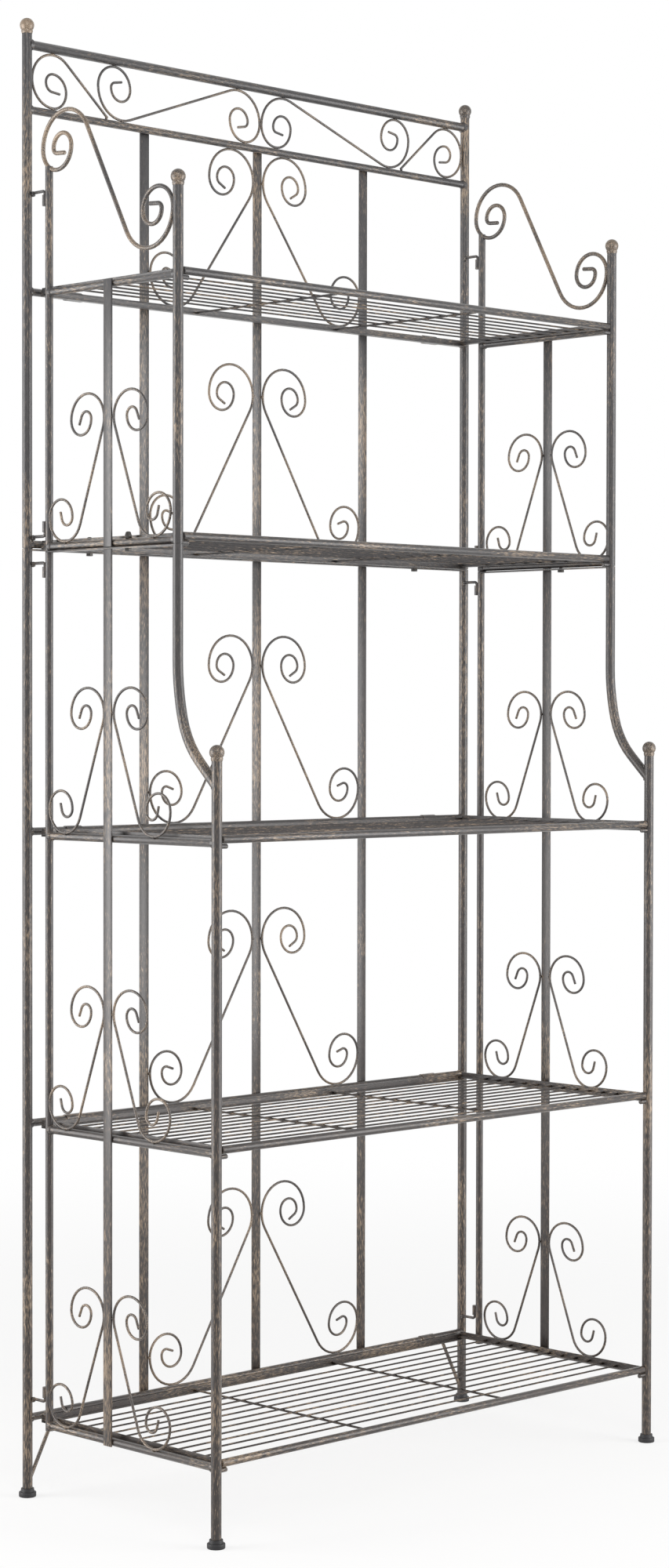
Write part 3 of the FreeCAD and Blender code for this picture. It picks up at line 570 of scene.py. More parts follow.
def moulded_plastic():
    """Injection-moulded black polyethylene of the feet: soft sheen, faint scuffs and a fine mould texture."""
    material, tree = material_called("Moulded polyethylene, black")
    if len(tree.nodes):
        return material
    place = node(tree, "ShaderNodeTexCoord").outputs["Object"]
    scuffs = node(tree, "ShaderNodeTexNoise", {
        "Vector": place, "Scale": SCUFFS, "Detail": 4.0}).outputs["Fac"]
    base = linear(bpy.context.scene.rack_finish.foot)
    worn = [min(1.0, part * 1.9) for part in base[:3]] + [1.0]
    scuffed = node(tree, "ShaderNodeMapRange", {"Value": scuffs, "From Min": 0.45, "From Max": 0.75})
    colour = node(tree, "ShaderNodeMix", {"Factor": scuffed.outputs["Result"], "A": base, "B": worn},
                  data_type="RGBA")
    grain = node(tree, "ShaderNodeTexNoise", {
        "Vector": place, "Scale": MOULD_TEXTURE, "Detail": 1.0}).outputs["Fac"]
    bump = node(tree, "ShaderNodeBump", {"Height": grain, "Strength": 0.12, "Distance": 0.0003})
    rough = node(tree, "ShaderNodeMapRange", {"Value": scuffs, "To Min": 0.42, "To Max": 0.6})
    shader = node(tree, "ShaderNodeBsdfPrincipled", {
        "Base Color": colour.outputs["Result"], "Roughness": rough.outputs["Result"],
        "Normal": bump.outputs["Normal"]})
    node(tree, "ShaderNodeOutputMaterial", {"Surface": shader.outputs["BSDF"]})
    return material


def blackened_steel():
    """Blackened machine screws and cap nuts: bare metal under a thin dark oxide, cloudy in tone."""
    material, tree = material_called("Blackened steel")
    if len(tree.nodes):
        return material
    place = node(tree, "ShaderNodeTexCoord").outputs["Object"]
    cloud = node(tree, "ShaderNodeTexNoise", {
        "Vector": place, "Scale": CLOUDS, "Detail": 3.0}).outputs["Fac"]
    base = linear(bpy.context.scene.rack_finish.bolt)
    dark = [part * 0.6 for part in base[:3]] + [1.0]
    colour = node(tree, "ShaderNodeMix", {"Factor": cloud, "A": dark, "B": base}, data_type="RGBA")
    rough = node(tree, "ShaderNodeMapRange", {"Value": cloud, "To Min": 0.3, "To Max": 0.5})
    shader = node(tree, "ShaderNodeBsdfPrincipled", {
        "Base Color": colour.outputs["Result"], "Roughness": rough.outputs["Result"], "Metallic": 0.9})
    node(tree, "ShaderNodeOutputMaterial", {"Surface": shader.outputs["BSDF"]})
    return material


# Putting pieces together

def coated(pieces, material):
    for piece in pieces:
        piece.data.materials.clear()
        piece.data.materials.append(material)
    return pieces


def joined(pieces):
    pick_only(*pieces)
    if len(pieces) > 1:
        bpy.ops.object.join()
    return bpy.context.object


def assembled(pieces, cad_node, smooth=40.0):
    """Joins the finished pieces into one that stands for a node of the frame and moves with its body."""
    whole = joined(pieces)
    bpy.ops.object.shade_smooth_by_angle(angle=math.radians(smooth))
    whole.name = cad_node + "_finished"
    whole.data.name = whole.name
    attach(whole, BODY_OF[cad_node])
    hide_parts(cad_node)


def assembled_pair(pieces, name):
    """The left panel's node, and the right one as its mirror image."""
    left = joined(pieces)
    right = copy_of(left, mirror=True)
    assembled([left], "left_" + name)
    assembled([right], "right_" + name)


# Places that several pieces share

def joint_levels(sizes):
    """Levels where the upper unit's back and side panels begin."""
    back = UPPER[1] - sizes.rail / 2
    return back, back - sizes.side_drop


def front_depth(level, sizes):
    """Depth of the front posts at a shelf's level."""
    return sizes.upper_depth if level in UPPER else sizes.lower_depth


def strap_depth(sizes):
    """Depth of the side straps: midway between the rear post and the upper front post."""
    return (sizes.rear_setback + sizes.rail / 2 + sizes.upper_depth - sizes.post / 2) / 2


def seat_height(sizes, scrolls):
    """How far a scroll's wire stands above the axis of the rail that it seats on."""
    return math.sqrt((sizes.rail / 2 + scrolls.wire / 2) ** 2 - scrolls.setback ** 2)


class RackMaker:
    """What the operators share"""

    bl_options = {"REGISTER", "UNDO"}


class RACK_OT_posts(RackMaker, bpy.types.Operator):
    """Round posts of the back panel and the two side panels"""

    bl_idname = "rack.posts"
    bl_label = "Posts"

    def execute(self, context):
        sizes = context.scene.rack_frame
        back, side = joint_levels(sizes)
        steel = painted_steel("upright")
        for name, low, high, first, last in (
                ("back_upper_posts", back, sizes.back_top, "mouth", "cut"),
                ("back_lower_posts", sizes.post_foot, back - sizes.joint_gap, "cut", "mouth")):
            left = tube(back_point(-sizes.half_width, low), back_point(-sizes.half_width, high), sizes.post,
                        first, last)
            assembled(coated(both_sides([left]), steel), name)
        rear = sizes.rear_setback
        low = LOWEST - sizes.side_drop - sizes.rear_below
        assembled_pair(coated([
            tube(side_point(rear, side), side_point(rear, sizes.rear_top), sizes.rail, "mouth", sides=20),
            tube(side_point(rear, low), side_point(rear, side - sizes.joint_gap), sizes.rail, "mouth",
                 "mouth", sides=20)], steel), "rear_posts")
        upper, lower = sizes.upper_depth, sizes.lower_depth
        assembled_pair(coated([
            tube(side_point(upper, side), side_point(upper, sizes.upper_front_top), sizes.post, "mouth"),
            tube(side_point(lower, sizes.post_foot), side_point(lower, sizes.lower_front_top), sizes.post)],
            steel), "front_posts")
        return {"FINISHED"}


class RACK_OT_finials(RackMaker, bpy.types.Operator):
    """Ball ends, each with the rough bead that welds it to its post"""

    bl_idname = "rack.finials"
    bl_label = "Finials"

    # The ball is cut a little above its seat, and the bead is drawn down from there in three runs, each with
    # its swell and the level that it swells about, counted in steps
    cut, step, uneven = 0.0008, 0.0014, 0.0003
    bead = ((1.0, 1.05, 0.0), (1.0, 0.97, 1.0), (1.4, 0.93, 2.4))

    def ball(self, top, sizes, seed):
        radius, neck = sizes.finial / 2, sizes.post / 2
        seat = math.sqrt(radius ** 2 - neck ** 2)
        fresh()
        bpy.ops.mesh.primitive_uv_sphere_add(segments=24, ring_count=16, radius=radius,
                                             location=top + UP * seat)
        piece = open_mesh(whole=True)
        bpy.ops.mesh.bisect(plane_co=top + UP * self.cut, plane_no=UP, use_fill=True, clear_inner=True)
        select_faces(piece, lambda face: face.normal.z < -0.99)
        for run, share, level in self.bead:
            pull(UP * -self.step * run)
            swell(share, top - UP * self.step * level)
        select_points(piece, lambda co: co.z < top.z + BITE)
        bpy.ops.transform.vertex_random(offset=self.uneven, seed=seed)
        return close_mesh(piece)

    def execute(self, context):
        sizes = context.scene.rack_frame
        steel = painted_steel("curled", rub=BALL_RUB)
        left = self.ball(back_point(-sizes.half_width, sizes.back_top), sizes, seed=1)
        assembled(coated(both_sides([left]), steel), "back_finials")
        assembled_pair(coated([
            self.ball(side_point(sizes.upper_depth, sizes.upper_front_top), sizes, seed=2),
            self.ball(side_point(sizes.lower_depth, sizes.lower_front_top), sizes, seed=5)], steel),
            "finials")
        return {"FINISHED"}


class RACK_OT_feet(RackMaker, bpy.types.Operator):
    """Moulded cups that the posts stand in"""

    bl_idname = "rack.feet"
    bl_label = "Feet"

    height, flange, edge, step, lip, wall, socket = 0.011, 0.0066, 0.0012, 0.0011, 0.0008, 0.0012, 0.006
    taper = 0.93

    def cup(self, floor, sizes):
        fresh()
        bpy.ops.mesh.primitive_cylinder_add(vertices=32, radius=sizes.foot / 2, depth=self.flange,
                                            location=floor + UP * self.flange / 2)
        piece = open_mesh()
        select_faces(piece, lambda face: abs(face.normal.z) > 0.9)
        soften(self.edge, 3)
        select_faces(piece, lambda face: face.normal.z > 0.99)
        bpy.ops.mesh.inset(thickness=self.step)
        pull(UP * (self.height - self.flange))
        swell(self.taper, floor + UP * self.height)
        for inset in (self.lip, self.wall):
            bpy.ops.mesh.inset(thickness=inset)
        pull(UP * -self.socket)
        return close_mesh(piece)

    def execute(self, context):
        sizes = context.scene.rack_frame
        plastic = moulded_plastic()
        left = self.cup(back_point(-sizes.half_width, 0.0), sizes)
        assembled(coated(both_sides([left]), plastic), "back_feet")
        assembled_pair(coated([self.cup(side_point(sizes.lower_depth, 0.0), sizes)], plastic), "foot")
        return {"FINISHED"}


class RACK_OT_rails(RackMaker, bpy.types.Operator):
    """Round rails welded between the posts, and the flat bars under the joint"""

    bl_idname = "rack.rails"
    bl_label = "Rails"

    def across(self, level, diameter, sizes):
        return tube(back_point(-sizes.half_width, level), back_point(sizes.half_width, level), diameter,
                    "weld", "weld", into=sizes.post / 2)

    def execute(self, context):
        sizes = context.scene.rack_frame
        back, side = joint_levels(sizes)
        half = sizes.bar_width / 2
        steel = painted_steel("crosswise")
        rails = [self.across(sizes.top_level, sizes.top_rail, sizes)]
        rails += [self.across(level, sizes.rail, sizes) for level in (sizes.frieze_level, *UPPER)]
        assembled(coated(rails, steel), "back_upper_rails")
        top = back - sizes.bar_gap
        rails = [bar(back_point(-sizes.half_width, top - sizes.bar_thick, -half),
                     back_point(sizes.half_width, top, half))]
        rails += [self.across(level, sizes.rail, sizes) for level in LOWER]
        assembled(coated(rails, steel), "back_lower_rails")
        rails = []
        for level in LEVELS:
            height = level - sizes.side_drop
            rails.append(tube(side_point(sizes.rear_setback, height),
                              side_point(front_depth(level, sizes), height), sizes.rail, "weld", "weld",
                              into=sizes.post / 2))
        top = side - sizes.joint_gap
        rails.append(bar(side_point(sizes.upper_depth, top - sizes.bar_thick, half),
                         side_point(sizes.rear_setback, top, -half)))
        assembled_pair(coated(rails, painted_steel("fore and aft")), "rails")
        return {"FINISHED"}


class RACK_OT_straps(RackMaker, bpy.types.Operator):
    """Flat uprights behind the back rails and outside the side rails"""

    bl_idname = "rack.straps"
    bl_label = "Straps"

    def execute(self, context):
        sizes = context.scene.rack_frame
        steel = painted_steel("upright")
        back, side = joint_levels(sizes)
        half, rail = sizes.strap_width / 2, sizes.rail / 2
        outer = rail + sizes.strap_thick
        straps = []
        for low, high in ((back, sizes.frieze_level),
                          (LOWEST - rail, back - sizes.bar_gap - sizes.bar_thick)):
            strap = bar(back_point(-sizes.strap_offset - half, low, rail),
                        back_point(-sizes.strap_offset + half, high, outer))
            straps.append(repeated(strap, 3, (sizes.strap_offset, 0.0, 0.0)))
        assembled(coated(straps, steel), "back_straps")
        middle = strap_depth(sizes)
        straps = []
        for low, high in ((side, UPPER[0] - sizes.side_drop + rail),
                          (LOWEST - sizes.side_drop - rail, side - sizes.joint_gap - sizes.bar_thick)):
            straps.append(bar(side_point(middle + half, low, outer), side_point(middle - half, high, rail)))
        assembled_pair(coated(straps, steel), "straps")
        return {"FINISHED"}


class RACK_OT_back_scrolls(RackMaker, bpy.types.Operator):
    """Mirrored scrolls on the back panel's middle strap, a pair over each shelf"""

    bl_idname = "rack.back_scrolls"
    bl_label = "Back scrolls"

    top_radii, top_tip = (0.0405, 0.0227, 0.0155, 0.009), (60.0, 0.012)
    bottom_radii, bottom_tip = (0.042, 0.028, 0.0175, 0.0075), (109.0, 0.011)
    top_rise = 0.218

    def scroll(self, rail, top_rise, sizes, scrolls):
        """The right scroll over a rail, with its welds."""
        def place(along, level):
            return back_point(along, rail + level, scrolls.setback)

        edge = sizes.strap_width / 2 + scrolls.wire / 2
        far = sizes.strap_offset - edge
        seat = seat_height(sizes, scrolls)
        top = (edge + self.top_radii[0], top_rise)
        bottom = (far - self.bottom_radii[0], seat + self.bottom_radii[0])
        path = leg_path(top, self.top_radii, self.top_tip, bottom, self.bottom_radii, self.bottom_tip)
        wire = bent(place, BACK_TURN, path, scrolls.wire)
        welds = beads([place(edge - BITE, top[1]), place(far + BITE, bottom[1]),
                       place(bottom[0], seat - 1.2 * BITE)], scrolls.bead)
        return [wire] + welds

    def execute(self, context):
        sizes, scrolls = context.scene.rack_frame, context.scene.rack_scrolls
        short = sizes.frieze_level - seat_height(sizes, scrolls) - self.top_radii[0] - UPPER[0]
        tall = self.scroll(UPPER[1], self.top_rise, sizes, scrolls)
        pieces = self.scroll(UPPER[0], short, sizes, scrolls) + tall
        for level in LOWER:
            pieces += [copy_of(piece, (0.0, 0.0, level - UPPER[1])) for piece in tall]
        assembled(coated(both_sides(pieces), painted_steel("curled", rub=WIRE_RUB)), "back_scrolls",
                  CURL_SMOOTH)
        return {"FINISHED"}


class RACK_OT_frieze(RackMaker, bpy.types.Operator):
    """S scrolls and end curls between the two top rails"""

    bl_idname = "rack.frieze"
    bl_label = "Frieze scrolls"

    outer, inner, tip = 0.041, (0.0165, 0.007), (80.0, 0.013)
    end_inner, end_tip = (0.022, 0.0115), (174.0, 0.013)
    # From curl to curl of the S, on to the foot of the end curl's tail, and from a curl to its far weld
    span, tail_run, weld_run = 0.206, 0.025, 0.014
    bead_share = 0.85

    def execute(self, context):
        sizes, scrolls = context.scene.rack_frame, context.scene.rack_scrolls
        wire, outer = scrolls.wire, self.outer
        low = sizes.frieze_level + sizes.rail / 2 + wire / 2
        high = sizes.top_level - sizes.top_rail / 2 - wire / 2
        middle = (wire / 2 + outer, high - outer)
        far = (middle[0] + self.span, low + outer)
        path = s_path(middle, far, (outer, high - low - outer, *self.inner), self.tip)
        radius = (high - low) / 2
        end = (sizes.half_width - sizes.post / 2 - wire / 2 - radius, (high + low) / 2)
        tail = (far[0] + self.tail_run, low)
        touch = tangent_angle(end, tail, radius, -1) + 360.0
        hook = [(tail, polar(end, radius, touch))]
        hook += curl(end, (radius, *self.end_inner), touch, -90.0, -1, self.end_tip)
        pieces = [bent(back_point, BACK_TURN, moves, wire) for moves in (path, hook)]
        over, under = high + BITE, low - BITE
        pieces += beads([back_point(middle[0], over), back_point(far[0], under),
                         back_point(far[0] + self.weld_run, over),
                         back_point(middle[0] - self.weld_run, under),
                         back_point(end[0], over), back_point(end[0], under),
                         back_point(tail[0] + 2 * BITE, low - BITE / 2)], scrolls.bead * self.bead_share)
        assembled(coated(both_sides(pieces), painted_steel("curled", rub=WIRE_RUB)), "frieze_scrolls",
                  CURL_SMOOTH)
        return {"FINISHED"}


class RACK_OT_side_scrolls(RackMaker, bpy.types.Operator):
    """Mirrored scrolls on the side straps, a pair over each shelf but the top one"""

    bl_idname = "rack.side_scrolls"
    bl_label = "Side scrolls"

    top_radii, top_tip = (0.032, 0.0195, 0.0098), (157.0, 0.0115)
    bottom_radii, bottom_tip = (0.031, 0.0225, 0.0106), (165.0, 0.010)
    top_rise = 0.1565

    def execute(self, context):
        sizes, scrolls = context.scene.rack_frame, context.scene.rack_scrolls
        middle = strap_depth(sizes)
        seat = seat_height(sizes, scrolls)
        edge = sizes.strap_width / 2 + scrolls.wire / 2
        reach = middle - sizes.rear_setback - sizes.rail / 2 - scrolls.wire / 2
        top = (edge + self.top_radii[0], self.top_rise)
        bottom = (reach - self.bottom_radii[0], seat + self.bottom_radii[0])
        path = leg_path(top, self.top_radii, self.top_tip, bottom, self.bottom_radii, self.bottom_tip)
        pieces = []
        base = UPPER[1] - sizes.side_drop
        for way in (1.0, -1.0):
            def place(along, level, way=way):
                return side_point(middle + way * along, base + level, scrolls.setback)

            pieces.append(bent(place, (-way, 0.0, 0.0), path, scrolls.wire))
            pieces += beads([place(edge - BITE, top[1]), place(bottom[0], seat - 1.2 * BITE)], scrolls.bead)
        copies = [copy_of(piece, (0.0, 0.0, level - UPPER[1])) for level in LOWER for piece in pieces]
        assembled_pair(coated(pieces + copies, painted_steel("curled", rub=WIRE_RUB)), "scrolls")
        return {"FINISHED"}


class RACK_OT_crests(RackMaker, bpy.types.Operator):
    """Thick S scroll from the rear post to the front post of each side panel"""

    bl_idname = "rack.crests"
    bl_label = "Crest scrolls"

    radii, tip = (0.046, 0.028, 0.0175, 0.007), (86.0, 0.016)
    # Front curl below the post's top, rear curl above the front one, rear curl forwards of the rear post
    drop, rise, lead = 0.0285, 0.099, 0.034
    bead_share = 1.1

    def execute(self, context):
        sizes, scrolls = context.scene.rack_frame, context.scene.rack_scrolls
        level = sizes.upper_front_top - self.drop
        post_face = sizes.upper_depth - sizes.post / 2
        rear = (sizes.rear_setback + self.lead, level + self.rise)
        front = (post_face - scrolls.crest / 2 - self.radii[0], level)
        path = s_path(rear, front, self.radii, self.tip)
        pieces = [bent(side_point, SIDE_TURN, path, scrolls.crest, sides=16)]
        pieces += beads([side_point(post_face - 0.8 * BITE, level - 3 * BITE),
                         side_point(sizes.rear_setback, sizes.rear_top - 1.7 * BITE)],
                        scrolls.bead * self.bead_share)
        assembled_pair(coated(pieces, painted_steel("curled", rub=CREST_RUB)), "crest")
        return {"FINISHED"}


class RACK_OT_shoulders(RackMaker, bpy.types.Operator):
    """Bent tubes that step the front posts forward"""

    bl_idname = "rack.shoulders"
    bl_label = "Shoulders"

    # Radii of the wide and the tight bend, the turn and the slope that they end at, and how far the foot lies
    # below the post's top
    long_r, short_r, turn, slope, drop = 0.290, 0.110, 14.0, 46.0, 0.035
    # The welds over and under the foot: how far into the post, and how far up
    welds, bead_share = ((0.0006, 0.0165), (0.0004, -0.0015)), 1.25

    def execute(self, context):
        sizes, scrolls = context.scene.rack_frame, context.scene.rack_scrolls
        long_r, short_r, upper, lower = self.long_r, self.short_r, sizes.upper_depth, sizes.lower_depth
        foot = sizes.lower_front_top - self.drop
        side = joint_levels(sizes)[1] - sizes.joint_gap
        cos_turn, sin_turn = polar((0.0, 0.0), 1.0, self.turn)
        cos_slope, sin_slope = polar((0.0, 0.0), 1.0, self.slope)
        straight = lower - upper - long_r * (1 - cos_turn) - short_r * (cos_turn - cos_slope)
        bend = foot + straight * cos_slope / sin_slope + short_r * (sin_slope - sin_turn) + long_r * sin_turn
        wide = (upper + long_r, bend)
        tight = (wide[0] - (long_r - short_r) * cos_turn, bend - (long_r - short_r) * sin_turn)
        path = [((upper, side), (upper, bend)),
                (wide, long_r, 180.0, 180.0 + self.turn),
                (tight, short_r, 180.0 + self.turn, 180.0 + self.slope),
                (polar(tight, short_r, 180.0 + self.slope), (lower, foot))]
        piece = bent(side_point, SIDE_TURN, path, sizes.post, sides=24, tips=False)
        welds = beads([side_point(lower - sizes.post / 2 - sink, foot + up) for sink, up in self.welds],
                      scrolls.bead * self.bead_share)
        assembled_pair(coated([piece] + welds, painted_steel("upright")), "shoulder")
        return {"FINISHED"}


class RACK_OT_hinges(RackMaker, bpy.types.Operator):
    """Hooks on the back posts and the sleeves of the side panels that turn on them"""

    bl_idname = "rack.hinges"
    bl_label = "Hinges"

    # Hooks above and below the joint, and above the lowest side rail
    over_joint, under_joint, over_rail = 0.0185, 0.0155, 0.0295
    # Where a hook's arm starts in its post, and its welds: depth, and how far down
    root, welds = 0.003, ((0.0072, 0.0), (0.0066, 0.0024))

    def execute(self, context):
        sizes, parts = context.scene.rack_frame, context.scene.rack_hardware
        side = joint_levels(sizes)[1]
        hooks, sleeves = [], []
        corner = HINGE_DEPTH - parts.hook_bend
        for level, way in ((parts.hook_top, -1), (side + self.over_joint, 1), (side - self.under_joint, -1),
                           (LOWEST - sizes.side_drop + self.over_rail, 1)):
            turn = level + way * parts.hook_bend
            path = [((self.root, level), (corner, level)),
                    ((corner, turn), parts.hook_bend, -90.0 * way, 0.0),
                    ((HINGE_DEPTH, turn), (HINGE_DEPTH, turn + way * parts.hook_pin))]
            hooks.append(bent(side_point, SIDE_TURN, path, parts.hook))
            hooks += beads([side_point(depth, level - down) for depth, down in self.welds], parts.hook_bead)
            near = turn + way * parts.sleeve_gap
            far = near + way * parts.sleeve_long
            sleeves.append(tube(side_point(HINGE_DEPTH, near), side_point(HINGE_DEPTH, far), parts.sleeve,
                                "mouth", "mouth", wall=parts.sleeve_wall, sides=18))
        assembled(coated(both_sides(hooks), painted_steel("fore and aft")), "hinge_hooks")
        assembled_pair(coated(sleeves, painted_steel("upright")), "hinge_sleeves")
        return {"FINISHED"}


class RACK_OT_braces(RackMaker, bpy.types.Operator):
    """Short rods that stiffen the bottom corners of the back"""

    bl_idname = "rack.braces"
    bl_label = "Corner braces"

    def execute(self, context):
        sizes, parts = context.scene.rack_frame, context.scene.rack_hardware
        left = tube(back_point(-sizes.half_width + parts.brace_reach, LOWEST),
                    back_point(-sizes.half_width, parts.brace_foot), parts.brace, "cut", "weld",
                    into=parts.brace_into, sides=16)
        assembled(coated(both_sides([left]), painted_steel("curled", rub=WIRE_RUB)), "back_braces")
        return {"FINISHED"}


class RACK_OT_joint_hardware(RackMaker, bpy.types.Operator):
    """Spigots in the posts, and the bolts and cap nuts that join the two units"""

    bl_idname = "rack.joint_hardware"
    bl_label = "Joint hardware"

    head_height, nut_height, tip, head_edge, nut_edge = 0.0035, 0.0045, 0.004, 0.0005, 0.0003
    # Ledges round the shank and the dome, and the dome's crown and steps, each a rise and a swell
    shoulder, ledge, crown = 0.0019, 0.0005, 0.008
    dome = ((0.0014, 0.97), (0.0013, 0.84), (0.0008, 0.55))

    def hexagon(self, middle, depth, radius):
        fresh()
        bpy.ops.mesh.primitive_cylinder_add(vertices=6, radius=radius, depth=depth, location=middle,
                                            rotation=(0.0, 0.0, math.pi / 6))
        return open_mesh()

    def bolt(self, top, gap, sizes, parts):
        """Bolt from below with a cap nut on the rail's top."""
        under = top - UP * (sizes.rail + gap + sizes.bar_thick)
        head = self.hexagon(under - UP * self.head_height / 2, self.head_height, parts.hexagon)
        select_faces(head, lambda face: face.normal.z < -0.9)
        soften(self.head_edge, 2)
        select_faces(head, lambda face: face.normal.z > 0.9)
        bpy.ops.mesh.inset(thickness=self.shoulder)
        pull(top - under + UP * self.tip)
        close_mesh(head)
        nut = self.hexagon(top + UP * self.nut_height / 2, self.nut_height, parts.hexagon)
        select_faces(nut, lambda face: face.normal.z > 0.9)
        bpy.ops.mesh.inset(thickness=self.ledge)
        for rise, share in self.dome:
            pull(UP * rise)
            swell(share, top + UP * self.crown)
        bpy.ops.mesh.select_all(action="SELECT")
        soften(self.nut_edge, 2)
        return [head, close_mesh(nut)]

    def execute(self, context):
        sizes, parts = context.scene.rack_frame, context.scene.rack_hardware
        back, side = joint_levels(sizes)
        reach = UP * parts.spigot_reach
        steel, metal = painted_steel("upright"), blackened_steel()
        pins = []
        for place, thick in ((back_point(-sizes.half_width, back), parts.spigot),
                             (side_point(sizes.upper_depth, side), parts.spigot),
                             (side_point(sizes.rear_setback, side), parts.thin_spigot)):
            pins.append(tube(place - reach, place + reach, thick, "round", "round"))
        assembled(coated(both_sides(pins[:1]), steel), "back_spigots")
        assembled_pair(coated(pins[1:], steel), "spigots")
        rail_top = UPPER[1] + sizes.rail / 2
        bolt = self.bolt(back_point(-parts.bolt_offset, rail_top), sizes.bar_gap, sizes, parts)
        assembled(coated(both_sides(bolt), metal), "back_joint_bolts", BOLT_SMOOTH)
        place = side_point(strap_depth(sizes) + parts.side_bolt, rail_top - sizes.side_drop)
        assembled_pair(coated(self.bolt(place, sizes.joint_gap, sizes, parts), metal), "joint_bolt")
        return {"FINISHED"}


class RACK_OT_pegs(RackMaker, bpy.types.Operator):
    """Pegs inside the front posts that carry the shelves"""

    bl_idname = "rack.pegs"
    bl_label = "Shelf pegs"

    def execute(self, context):
        sizes, parts = context.scene.rack_frame, context.scene.rack_hardware
        pegs = []
        for level in LEVELS:
            depth = front_depth(level, sizes)
            height = level - sizes.rail / 2 - parts.peg_drop
            pegs.append(tube(side_point(depth, height),
                             side_point(depth, height, -sizes.post / 2 - parts.peg_reach), parts.peg, "cut",
                             "round", sides=16))
        assembled_pair(coated(pegs, painted_steel("crosswise")), "shelf_pegs")
        return {"FINISHED"}


class RACK_OT_shelves(RackMaker, bpy.types.Operator):
    """Five wire shelves with their angle frames, front tubes and hinge loops"""

    bl_idname = "rack.shelves"
    bl_label = "Shelves"

    # Loops: room round the rail, turn and segments of the wrap, gap before the rear bar
    loop_room, loop_turn, loop_steps, leaf_gap = 0.00006, 338.0, 28, 0.00005
    # Ends: front tubes short of the posts, cross bars short of the front tube's axis, and end bars short of
    # that by a share of its width
    tube_gap, cross_gap, bar_share = 0.0005, 0.003, 0.4
    thin_coat = 0.15

    def loops(self, level, sizes, shelves):
        """Strips wrapped round the back rail from a leaf that meets the rear angle bar."""
        inner = sizes.rail / 2 + self.loop_room
        thick = shelves.loop_thick
        x = -shelves.half + shelves.loop_inset
        fresh()
        bpy.ops.mesh.primitive_plane_add(size=1.0, location=back_point(x, level - inner - thick / 2),
                                         rotation=(math.pi / 2, 0.0, 0.0))
        bpy.context.object.scale = (shelves.loop, thick, 1.0)
        loop = open_mesh(whole=True)
        bpy.ops.mesh.delete(type="ONLY_FACE")
        bpy.ops.mesh.select_all(action="SELECT")
        bpy.ops.mesh.spin(steps=self.loop_steps, angle=math.radians(-self.loop_turn),
                          center=back_point(x, level), axis=(1.0, 0.0, 0.0))
        bpy.ops.mesh.edge_face_add()
        select_points(loop, lambda co: abs(co.y - BACK_Y) < NEAR and co.z < level)
        bpy.ops.mesh.edge_face_add()
        pull(Vector((0.0, self.leaf_gap - shelves.rear_depth, 0.0)))
        return both_sides([close_mesh(loop)])

    def frame_bars(self, level, depth, sizes, shelves):
        leg, thick, half = shelves.leg, shelves.thick, shelves.half
        near = -shelves.rear_depth
        top = level + shelves.rear_rise
        rear = angle_bar(back_point(-half, top - leg, near - thick), back_point(half, top, near),
                         Vector((0.0, thick - leg, 0.0)), thick)
        top = level + shelves.end_rise
        left = angle_bar(back_point(-half, top - leg, -depth + sizes.rail * self.bar_share),
                         back_point(-half + thick, top, near - thick), Vector((leg - thick, 0.0, 0.0)), thick)
        return (coated([rear], painted_steel("crosswise"))
                + coated(both_sides([left]), painted_steel("fore and aft")))

    def grille(self, level, depth, count, shelves):
        height = level + shelves.end_rise - shelves.leg + shelves.thick + shelves.wire / 2
        half = shelves.half - shelves.thick
        first = -shelves.rear_margin
        wire = tube(back_point(-half, height, first), back_point(half, height, first), shelves.wire, "round",
                    "round", sides=12)
        pitch = (depth - shelves.rear_margin - shelves.front_margin) / (count - 1)
        wires = [repeated(wire, count, (0.0, -pitch, 0.0))]
        under = height - (shelves.wire + shelves.cross) / 2
        x = shelves.cross_offset
        cross = tube(back_point(-x, under, -shelves.rear_depth - shelves.thick),
                     back_point(-x, under, -depth + self.cross_gap), shelves.cross, sides=12)
        bars = [repeated(cross, 2, (2 * x, 0.0, 0.0))]
        return (coated(wires, painted_steel("crosswise", lacquer=self.thin_coat))
                + coated(bars, painted_steel("fore and aft", lacquer=self.thin_coat)))

    def execute(self, context):
        sizes, shelves = context.scene.rack_frame, context.scene.rack_shelves
        steel = painted_steel("crosswise")
        half = SIDE_X - sizes.post / 2 - self.tube_gap
        for number, level in enumerate(LEVELS, 1):
            depth = front_depth(level, sizes)
            count = shelves.upper_count if level in UPPER else shelves.lower_count
            front = tube(back_point(-half, level, -depth), back_point(half, level, -depth), sizes.rail,
                         "round", "round")
            assembled(coated([front], steel), f"shelf_{number}_front_tube")
            assembled(self.frame_bars(level, depth, sizes, shelves), f"shelf_{number}_frame")
            assembled(self.grille(level, depth, count, shelves), f"shelf_{number}_grille")
            assembled(coated(self.loops(level, sizes, shelves), steel), f"shelf_{number}_hinge_loops")
        return {"FINISHED"}


